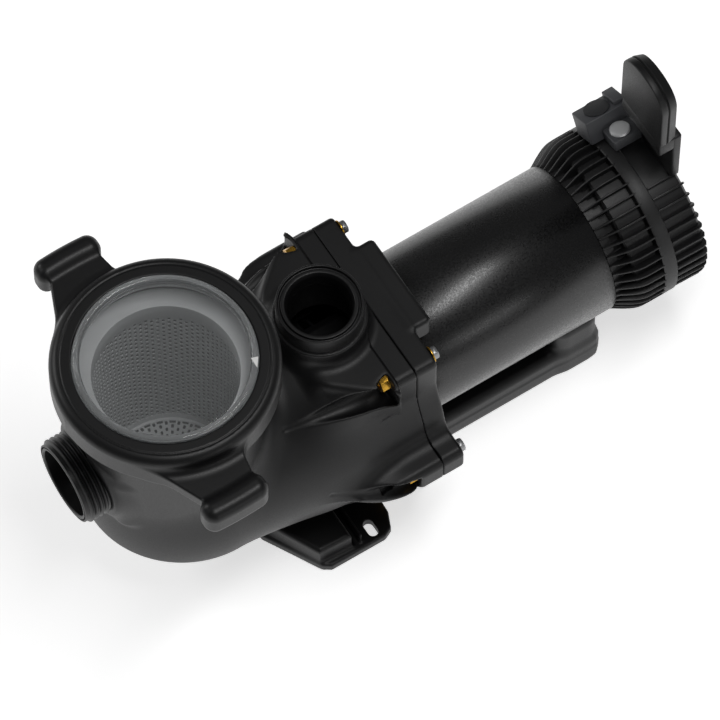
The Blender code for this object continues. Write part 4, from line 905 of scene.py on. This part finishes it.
def basket():
    foot, ledge = basket_low[2], LEDGE_Z
    wall_top, wall_foot = 0.0745, 0.0690
    pitch = 0.008
    wall_low = foot + 0.006
    rows = int((ledge - 0.014 - wall_low) / pitch)
    columns = 80
    wall = sieve("basket_sieve", columns, rows, (0.60, 0.64), wall_foot, wall_top - wall_foot,
                 rows * pitch, wall_low)
    floor = sieve("basket_floor", 60, 6, (0.52, 0.58), 0.0650, -0.043, 0.0, foot + 0.0012)
    middle = turned("basket_boss", BASKET, eased([(0.0, foot + 0.0002), (0.0225, foot + 0.0002),
                                                  (0.0225, foot + 0.0030), (0.0, foot + 0.0044)], 0.0006, 2,
                                                 closed=False), (POT_X, 0, 0), steps=96, ring=False)
    heel = turned("basket_heel", BASKET, eased([(0.0640, foot + 0.0001), (0.0700, foot + 0.0001),
                                                (0.0704, foot + 0.0085), (0.0684, foot + 0.0085),
                                                (0.0672, foot + 0.0026), (0.0640, foot + 0.0022)], 0.0008, 3),
                  (POT_X, 0, 0), steps=160)
    low_band = wall_low + rows * pitch - 0.001
    flange = eased([(0.0938, ledge + 0.0032), (0.0938, ledge + 0.0006), (0.0762, ledge + 0.0004),
                    (0.0757, low_band), (0.0732, low_band), (0.0736, ledge + 0.0032)], 0.0008, 3)
    band = turned("basket_band", BASKET, flange, (POT_X, 0, 0), steps=160)
    lean = Matrix.Rotation(radians(2.2), 4, "Y") @ Matrix.Translation((0.0030, 0, 0))
    ribs = [brick("basket_rib", BASKET, (0.0680, -0.0028, foot + 0.004), (0.0715, 0.0028, low_band + 0.002),
                  0.0006, 2, Matrix.Translation((POT_X, 0, 0)) @ Matrix.Rotation(radians(a), 4, "Z") @ lean)
            for a in (66, 186, 306)]
    return merged("basket_moulding", BASKET, [wall, floor, middle, heel, band] + ribs)


# ---------------------------------------------------------------- motor
def motor_tube():
    end_x = TUBE_END_X
    profile = [(TUBE_RADIUS - 0.0025, PLATE_X + GAP), (TUBE_RADIUS - 0.0006, PLATE_X + GAP),
               (TUBE_RADIUS, PLATE_X + GAP + 0.0008), (TUBE_RADIUS, end_x - 0.0008),
               (TUBE_RADIUS - 0.0008, end_x), (TUBE_RADIUS - 0.0025, end_x)]
    return turned("motor_tube", PAINT, profile, (0, 0, SHAFT_Z), X_AXIS, 256, angle=60)


def drum_outline(x):
    """How the fins' outer edge climbs from the tube."""
    share = min(max(x / 0.033, 0.0), 1.0)
    return FIN_START_RADIUS + (FIN_RADIUS - FIN_START_RADIUS) * sin(share * pi / 2) ** 1.15


def fin_blade(name, outline, thick):
    """A thin plate in the plane of X and Z, drawn at the origin with its outer edge eased."""
    build = bmesh.new()
    sides = []
    for offset in (-thick / 2, thick / 2):
        sides.append([build.verts.new((u, offset, v)) for u, v in outline])
    build.faces.new(sides[0])
    build.faces.new(sides[1][::-1])
    count = len(outline)
    for i in range(count):
        j = (i + 1) % count
        build.faces.new((sides[0][i], sides[1][i], sides[1][j], sides[0][j]))
    bmesh.ops.recalc_face_normals(build, faces=build.faces)
    return with_bevel(as_object(name, mesh_from(build, name), CASTING), 0.0005, 2)


def front_fins():
    start, length, steps = TUBE_END_X + 0.0002, BAND_START_X - TUBE_END_X, 12
    edge = [(start + length * i / steps, drum_outline(length * i / steps)) for i in range(steps + 1)]
    outline = [(start, FIN_ROOT_RADIUS)] + edge + [
        (BAND_START_X + 0.002, FIN_RADIUS), (BAND_START_X + 0.002, 0.0845),
        (TUBE_END_X + 0.020, FIN_ROOT_RADIUS)]
    blade = fin_blade("front_fins", outline, 0.0019)
    return through(blade, ROUND, Count=48, Start=radians(3.75), Sweep=2 * pi, Centre=(0, 0, SHAFT_Z),
                   Finish=CASTING)


def rear_drum():
    """Bell casting under the fins: dark throat, drum face and the smooth band."""
    start = TUBE_END_X
    throat, face, band = start + 0.0205, start + 0.0225, BAND_START_X
    profile = [(0.0775, start + 0.001), (0.0812, start + 0.0004), (0.0812, start + 0.0110),
               (0.0720, start + 0.0114), (0.0720, throat), (0.0866, throat),
               (0.0888, face), (0.0893, band - 0.0035), (0.0893, band - 0.003), (0.0850, band - 0.003),
               (0.0850, band - 0.0006), (0.0958, band - 0.0006), (0.0966, band + 0.0006),
               (0.0966, BAND_END_X - 0.0008), (0.0958, BAND_END_X), (0.0880, BAND_END_X),
               (0.0775, BAND_END_X)]
    return turned("rear_bell_drum", CASTING, profile, (0, 0, SHAFT_Z), X_AXIS, 192)


def rear_bell():
    return merged("rear_bell_casting", CASTING, [front_fins(), rear_drum()])


BARE_START, BARE_END = radians(-20), radians(45)        # top of the fan cover, from +Z towards +Y


def fan_cover():
    """Finned shroud behind the band, smooth over the top, with a closed end."""
    start, end = BAND_END_X + GAP, REAR_X
    body = eased([(0.0840, start), (0.0905, start), (0.0905, end - 0.0055), (0.0850, end - 0.0015),
                  (0.0700, end), (0.0, end), (0.0, end - 0.004), (0.0690, end - 0.004),
                  (0.0840, end - 0.009)], 0.0012, 3, closed=False)
    shroud = turned("fan_shroud", CASTING, body, (0, 0, SHAFT_Z), X_AXIS, 192)
    outline = [(start, 0.0880), (start, 0.0955), (end - 0.008, 0.0962), (end - 0.0030, 0.0945),
               (end - 0.0006, 0.0905), (end - 0.0006, 0.0840), (end - 0.006, 0.0840)]
    blade = fin_blade("rear_fins", outline, 0.0021)
    fins = through(blade, ROUND, Count=38, Start=-BARE_START, Sweep=2 * pi - (BARE_END - BARE_START),
                   Centre=(0, 0, SHAFT_Z), Finish=CASTING)
    return merged("fan_cover_casting", CASTING, [shroud, fins])


# ---------------------------------------------------------------- wiring box, pedestal and panel
def leaned(degrees):
    """Frame whose Z runs from the shaft, leaning towards +Y."""
    return Matrix.Translation((0, 0, SHAFT_Z)) @ Matrix.Rotation(-radians(degrees), 4, "X")


BOX_LEAN, PAD_LEAN = 30.0, 18.0
BOX_X = TUBE_END_X + 0.0472
BOX_END_X = BOX_X + 0.051
BOX_LEFT, BOX_RIGHT, BOX_TOP = -0.0125, 0.0175, 0.125
PAD_X = TUBE_END_X + 0.0617
PAD_TOP = 0.110
ON_FINS = 0.0975                # just clear of the fins
NECK_X = panel_low[0] + 0.0172
NECK_HALF = 0.035
PANEL_HALF, PANEL_FOOT, PANEL_SIDE_TOP, PANEL_CROWN = 0.036, 0.172, 0.235, 0.030
SEAM_INSET = 0.0008


def wiring_box():
    lean = leaned(BOX_LEAN)
    body = brick("box_body", BOX_GREY, (BOX_X, BOX_LEFT, ON_FINS), (BOX_END_X, BOX_RIGHT, BOX_TOP), 0.0012, 3,
                 lean)
    step = brick("box_step", BOX_GREY, (BOX_END_X - 0.0135, BOX_LEFT + 0.004, BOX_TOP - 0.001),
                 (BOX_END_X - 0.0005, BOX_RIGHT - 0.0005, BOX_TOP + 0.005), 0.0010, 3, lean)
    return merged("wiring_box", BOX_GREY, [body, step])


def round_cap():
    profile = eased([(0.0, 0.0015), (0.0140, 0.0015), (0.0140, GAP), (0.0, GAP)], 0.0005, 3, closed=False)
    cap = turned("blanking_plug", GREY, profile, steps=96, ring=False)
    cap.data.transform(leaned(BOX_LEAN) @ Matrix.Translation((BOX_X + 0.022, 0.0025, BOX_TOP)))
    return cap


def metal_button():
    profile = [(0.0, 0.0040), (0.0050, 0.0039), (0.0085, 0.0036), (0.0102, 0.0030), (0.0109, 0.0019),
               (0.0109, 0.0006), (0.0060, GAP), (0.0060, -0.006), (0.0, -0.006)]
    made = turned("access_plug_cap", SILVER, profile, steps=96, ring=False)
    made.data.transform(leaned(PAD_LEAN) @ Matrix.Translation((PAD_X + 0.0145, -0.002, PAD_TOP)))
    return made


def pedestal():
    foot = SHAFT_Z + PANEL_FOOT - GAP
    neck = brick("neck", BODY, (NECK_X, -NECK_HALF, SHAFT_Z + 0.0905), (NECK_X + 0.0105, NECK_HALF, foot),
                 0.0025, 4)
    corbel = brick("corbel", BODY, (panel_low[0] + 0.001, -NECK_HALF + 0.0005, foot - 0.022),
                   (NECK_X + 0.0100, NECK_HALF - 0.0005, foot - 0.0001), 0.0020, 3)
    return merged("panel_pedestal", BODY, [neck, corbel])


def button_pad():
    return brick("button_pad", BOX_GREY, (PAD_X, -0.0145, ON_FINS), (NECK_X - GAP, 0.0095, PAD_TOP),
                 0.0010, 3, leaned(PAD_LEAN))


def arch(half, low, side_top, crown, steps=40, power=2.2):
    """Flat foot, straight sides and a domed top."""
    points = [(-half, low), (half, low)]
    for i in range(steps + 1):
        angle = pi * i / steps
        across = abs(cos(angle)) ** (2 / power) * (1 if cos(angle) > 0 else -1)
        points.append((half * across, side_top + crown * max(sin(angle), 0.0) ** (2 / power)))
    return points


def panel_shells():
    outline = arch(PANEL_HALF, PANEL_FOOT, PANEL_SIDE_TOP, PANEL_CROWN)
    back = extruded("panel_back", BODY, outline, panel_low[0], panel_high[0] - panel_low[0], X_AXIS,
                    (0, 0, SHAFT_Z), 0.0014, 3)
    inset = arch(PANEL_HALF - SEAM_INSET, PANEL_FOOT + SEAM_INSET, PANEL_SIDE_TOP, PANEL_CROWN - SEAM_INSET)
    seam = extruded("panel_seam", RUBBER, inset, panel_high[0] + GAP, front_low[0] - panel_high[0] - 2 * GAP,
                    X_AXIS, (0, 0, SHAFT_Z))
    front = extruded("panel_front", BODY, outline, front_low[0], front_high[0] - front_low[0], X_AXIS,
                     (0, 0, SHAFT_Z), 0.0010, 2)
    return back, seam, rounded_front(front)


def rounded_front(front):
    """Round over the rim that faces away from the motor."""
    face_x = front_high[0]
    build = bmesh.new()
    build.from_mesh(front.data)
    bpy.data.objects.remove(front, do_unlink=True)
    middle = Vector((0, 0, SHAFT_Z + 0.215))
    radius = 0.0075
    for vert in build.verts:
        depth = face_x - vert.co.x
        if depth < radius:
            shrink = 1 - sqrt(max(1 - (1 - depth / radius) ** 2, 0.0))
            away = Vector((0, vert.co.y, vert.co.z)) - middle
            away.x = 0
            vert.co -= away.normalized() * shrink * radius * 0.8
    return as_object("panel_front", smooth(mesh_from(build, "panel_front")), BODY)


# ---------------------------------------------------------------- base
def outline_distance(u, v, corners):
    """Signed distance to a closed outline in a plane."""
    nearest, inside = None, None
    count = len(corners)
    for i in range(count):
        (au, av), (bu, bv) = corners[i], corners[i - 1]
        eu, ev = bu - au, bv - av
        share = np.clip(((u - au) * eu + (v - av) * ev) / (eu * eu + ev * ev), 0.0, 1.0)
        away = (u - au - eu * share) ** 2 + (v - av - ev * share) ** 2
        level = (av > v) != (bv > v)
        slope = (bu - au) * (v - av) / (ev if ev else 1e-9) + au
        flip = level & (u < slope)
        nearest = away if nearest is None else np.minimum(nearest, away)
        inside = flip if inside is None else inside ^ flip
    return np.where(inside, -1.0, 1.0) * np.sqrt(nearest)


RAIL_END, RAIL_HALF = base_high[0], 0.063
SLOT_Y, SLOT_RADIUS, SLOT_STRAIGHT = 0.111, 0.0055, 0.0045
SCREW_X, SCREW_Y, SCREW_HOLE, SCREW_HEAD = FLANGE_X + 0.013, 0.040, 0.0035, 0.008


def base_field(x, y, z):
    side, up = np.abs(y), z - SHAFT_Z
    nose = base_low[0]
    foot = outline_distance(x, side, [
        (nose, -0.01), (nose, 0.058), (nose + 0.035, 0.121), (nose + 0.043, 0.1262), (0.008, 0.1268),
        (0.018, 0.122), (0.0255, 0.105), (0.027, 0.075), (0.036, 0.064), (0.036, -0.01)])
    body = raised(foot, z, 0.0, 0.012, 0.0025)
    block = outline_distance(x, side, [(nose + 0.004, -0.01), (nose + 0.004, 0.056), (nose + 0.034, 0.1165),
                                       (nose + 0.072, 0.1185), (-0.027, 0.1160), (-0.026, -0.01)])
    body = blend_in(body, raised(block, z, 0.0, 0.036, 0.005), 0.005)
    web = slab(x, side, z, (-0.0165, 0.095, 0.013), (0.0014, 0.024, 0.012), 0.0012)
    body = blend_in(body, web, 0.003)
    rest = SHAFT_Z - FLAT_HEIGHT - GAP
    rail = outline_distance(x, side, [(-0.030, -0.05), (-0.030, RAIL_HALF), (RAIL_END - 0.006, RAIL_HALF),
                                      (RAIL_END, 0.057), (RAIL_END, -0.05)]) + 0.0002
    body = blend_in(body, raised(rail, z, 0.0, rest, 0.003), 0.004)
    body = blend_in(body, np.maximum(raised(rail, z, 0.0, 0.042, 0.009), PLATE_X + 0.003 - x), 0.004)
    saddle = slab(x, side, z, (RAIL_END - 0.0275, 0, 0.038), (0.0275, RAIL_HALF, 0.050), 0.017)
    saddle = np.maximum(saddle, -z)
    body = blend_in(body, saddle, 0.010)
    barrel = np.hypot(side, up) - barrel_radius(x) - 0.0005
    body = take_out(body, np.maximum(barrel, x - FLANGE_X), 0.002)
    body = np.maximum(body, -np.maximum(x - PLATE_X - 0.003, np.maximum(FLANGE_X - 0.001 - x, rest - z)))
    cradle = pill(np.hypot(y, up), x, TUBE_RADIUS + 0.0036, RAIL_END - 0.10, RAIL_END + 0.02, 0.001)
    body = take_out(body, cradle, 0.002)
    hollow = slab(x, side, z, ((PLATE_X + RAIL_END - 0.004) / 2, 0, 0.013),
                  ((RAIL_END - PLATE_X - 0.02) / 2, 0.058, 0.023), 0.004)
    body = take_out(body, hollow, 0.001)
    slot = np.hypot(x, np.maximum(np.abs(side - SLOT_Y) - SLOT_STRAIGHT, 0.0)) - SLOT_RADIUS
    body = take_out(body, slot, 0.001)
    from_screw = np.hypot(x - SCREW_X, side - SCREW_Y)
    body = np.maximum(body, SCREW_HOLE - from_screw)
    body = np.maximum(body, -np.maximum(from_screw - SCREW_HEAD, z - 0.0085))
    return trim_by(body, -z, 0.001)


def make_base():
    return moulded("pump_base_moulding", BODY, base_field, base_low, base_high, CELL)


# ---------------------------------------------------------------- drain plugs
def drain_plug(name, x, face, z):
    head = domed_hexagon("head", BODY, 0.0115, 0.0022, 0.0088)
    shank = turned("shank", BODY, eased([(0.0, -0.012), (0.0079, -0.012), (0.0079, 0.0024), (0.0, 0.0024)],
                                        0.0006, 2, closed=False), axis=X_AXIS, steps=48, ring=False)
    plug = merged(name, BODY, [head, shank])
    plug.data.transform(Matrix.Translation((x, face, z)) @ Matrix.Rotation(pi / 2, 4, "Z"))
    return plug


# ---------------------------------------------------------------- stage, light and camera
def stage():
    bpy.ops.mesh.primitive_plane_add(size=12.0)
    floor = bpy.context.object
    floor.name = "studio_floor"
    paper, _, _ = material("white_paper_sweep", Base_Color="#f6f6f6", Roughness=0.9, Emission_Color="#ffffff",
                           Emission_Strength=0.62)
    floor.data.materials.append(paper)


def lamp(name, place, target, size, power):
    light = bpy.data.lights.new(name, "AREA")
    light.shape = "RECTANGLE"
    light.size, light.size_y = size
    light.energy = power
    holder = bpy.data.objects.new(name, light)
    holder.location = place
    holder.rotation_euler = (Vector(place) - Vector(target)).to_track_quat("Z", "Y").to_euler()
    bpy.context.scene.collection.objects.link(holder)


def lights():
    aim = (0.05, 0.0, 0.2)
    lamp("top_softbox", (0.35, -0.45, 2.75), aim, (1.7, 0.40), 26)
    lamp("far_softbox", (-1.3, 1.7, 1.6), aim, (1.0, 0.8), 12)
    lamp("near_softbox", (0.5, -2.4, 1.1), aim, (1.6, 0.5), 5)
    world = bpy.data.worlds.new("studio")
    world.use_nodes = True
    world.node_tree.nodes["Background"].inputs["Color"].default_value = (1, 1, 1, 1)
    world.node_tree.nodes["Background"].inputs["Strength"].default_value = 0.12
    bpy.context.scene.world = world
    bpy.context.scene.view_settings.view_transform = "Standard"


def camera():
    """Long lens from high on the near side, looking along the pump."""
    azimuth, elevation, distance = radians(-32.55), radians(63.43), 7.319
    aim = Vector((0.0441, -0.0218, 0.1979))
    back = Vector((sin(azimuth) * cos(elevation), -cos(azimuth) * cos(elevation), sin(elevation)))
    lens = bpy.data.cameras.new("studio_camera")
    lens.lens, lens.sensor_width = 363.4, 36.0
    lens.clip_end = 30.0
    holder = bpy.data.objects.new("studio_camera", lens)
    right = Vector((cos(azimuth), sin(azimuth), 0.0))
    up = back.cross(right)
    turn = Matrix((right, up, back)).transposed().to_4x4()
    holder.matrix_world = Matrix.Translation(aim + back * distance) @ turn
    bpy.context.scene.collection.objects.link(holder)
    bpy.context.scene.camera = holder


# ---------------------------------------------------------------- CAD nodes that stay, and their finishes
KEPT = {
    "diffuser": BODY, "impeller": GREY, "cooling_fan": GREY, "front_end_bell": CASTING,
    "housing_gasket": RUBBER, "cover_o_ring": RUBBER, "diffuser_o_ring": RUBBER, "seal_seat_cup": RUBBER,
    "shaft_slinger": RUBBER, "motor_cradle": RUBBER, "keypad": RUBBER, "strainer_drain_seal": RUBBER,
    "volute_drain_seal": RUBBER, "seal_head": CARBON, "seal_seat": CERAMIC, "front_winding": COPPER,
    "rear_winding": COPPER, "stator_core": LAMINATION, "rotor_core": LAMINATION, "control_board": BOARD,
    "impeller_screw": STEEL, "seal_spring": STEEL, "motor_shaft": STEEL, "front_bearing": STEEL,
    "rear_bearing": STEEL, "base_screw_1": STEEL, "base_screw_2": STEEL, "display_window": SMOKED,
}


def finish_kept_nodes():
    for name, look in KEPT.items():
        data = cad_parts[name].data
        data.materials.clear()
        data.materials.append(look)


def settle(piece, body, slot, *nodes):
    """Ride a piece on its body and hide the CAD nodes it stands for. The slot is not used."""
    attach(piece, body)
    if nodes:
        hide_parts(*nodes)


def build():
    stage()
    lights()
    camera()
    finish_kept_nodes()
    settle(make_housing(), "root", "moulded_body", "pump_housing")
    settle(suction_port(), "root", "moulded_body")
    settle(discharge_port(), "root", "moulded_body")
    settle(make_seal_plate(), "root", "moulded_body", "seal_plate")
    settle(bolts(), "root", "steel", *[f"housing_bolt_{i}" for i in range(1, 7)])
    settle(nuts(), "root", "brass", *[f"housing_nut_{i}" for i in range(1, 7)])
    settle(washers(), "root", "brass")
    settle(make_lock_ring(), "lock_ring", "moulded_body", "lock_ring")
    settle(cover_window(), "cover", "clear_cover", "strainer_cover")
    settle(cover_rim(), "cover", "clear_cover")
    settle(pointer(), "cover", "basket")
    settle(basket(), "basket", "basket", "strainer_basket")
    settle(motor_tube(), "root", "painted_shell", "motor_shell")
    settle(rear_bell(), "root", "casting", "rear_end_bell")
    settle(fan_cover(), "root", "casting", "fan_cover")
    settle(wiring_box(), "root", "dark_moulding", "terminal_box")
    settle(round_cap(), "root", "moulded_body", "conduit_plug")
    settle(metal_button(), "root", "steel", "access_plug")
    settle(pedestal(), "root", "dark_moulding", "control_pedestal")
    settle(button_pad(), "root", "dark_moulding")
    back, seam, front = panel_shells()
    settle(back, "root", "dark_moulding", "control_back_shell")
    settle(seam, "root", "rubber", "control_gasket")
    settle(front, "root", "dark_moulding", "control_front_shell")
    settle(make_base(), "root", "moulded_body", "pump_base")
    for name, (x, face, z) in zip(("strainer_drain", "volute_drain"), drain_places()):
        settle(drain_plug(name + "_cap", x, face, z), "root", "moulded_body", name + "_plug")


build()
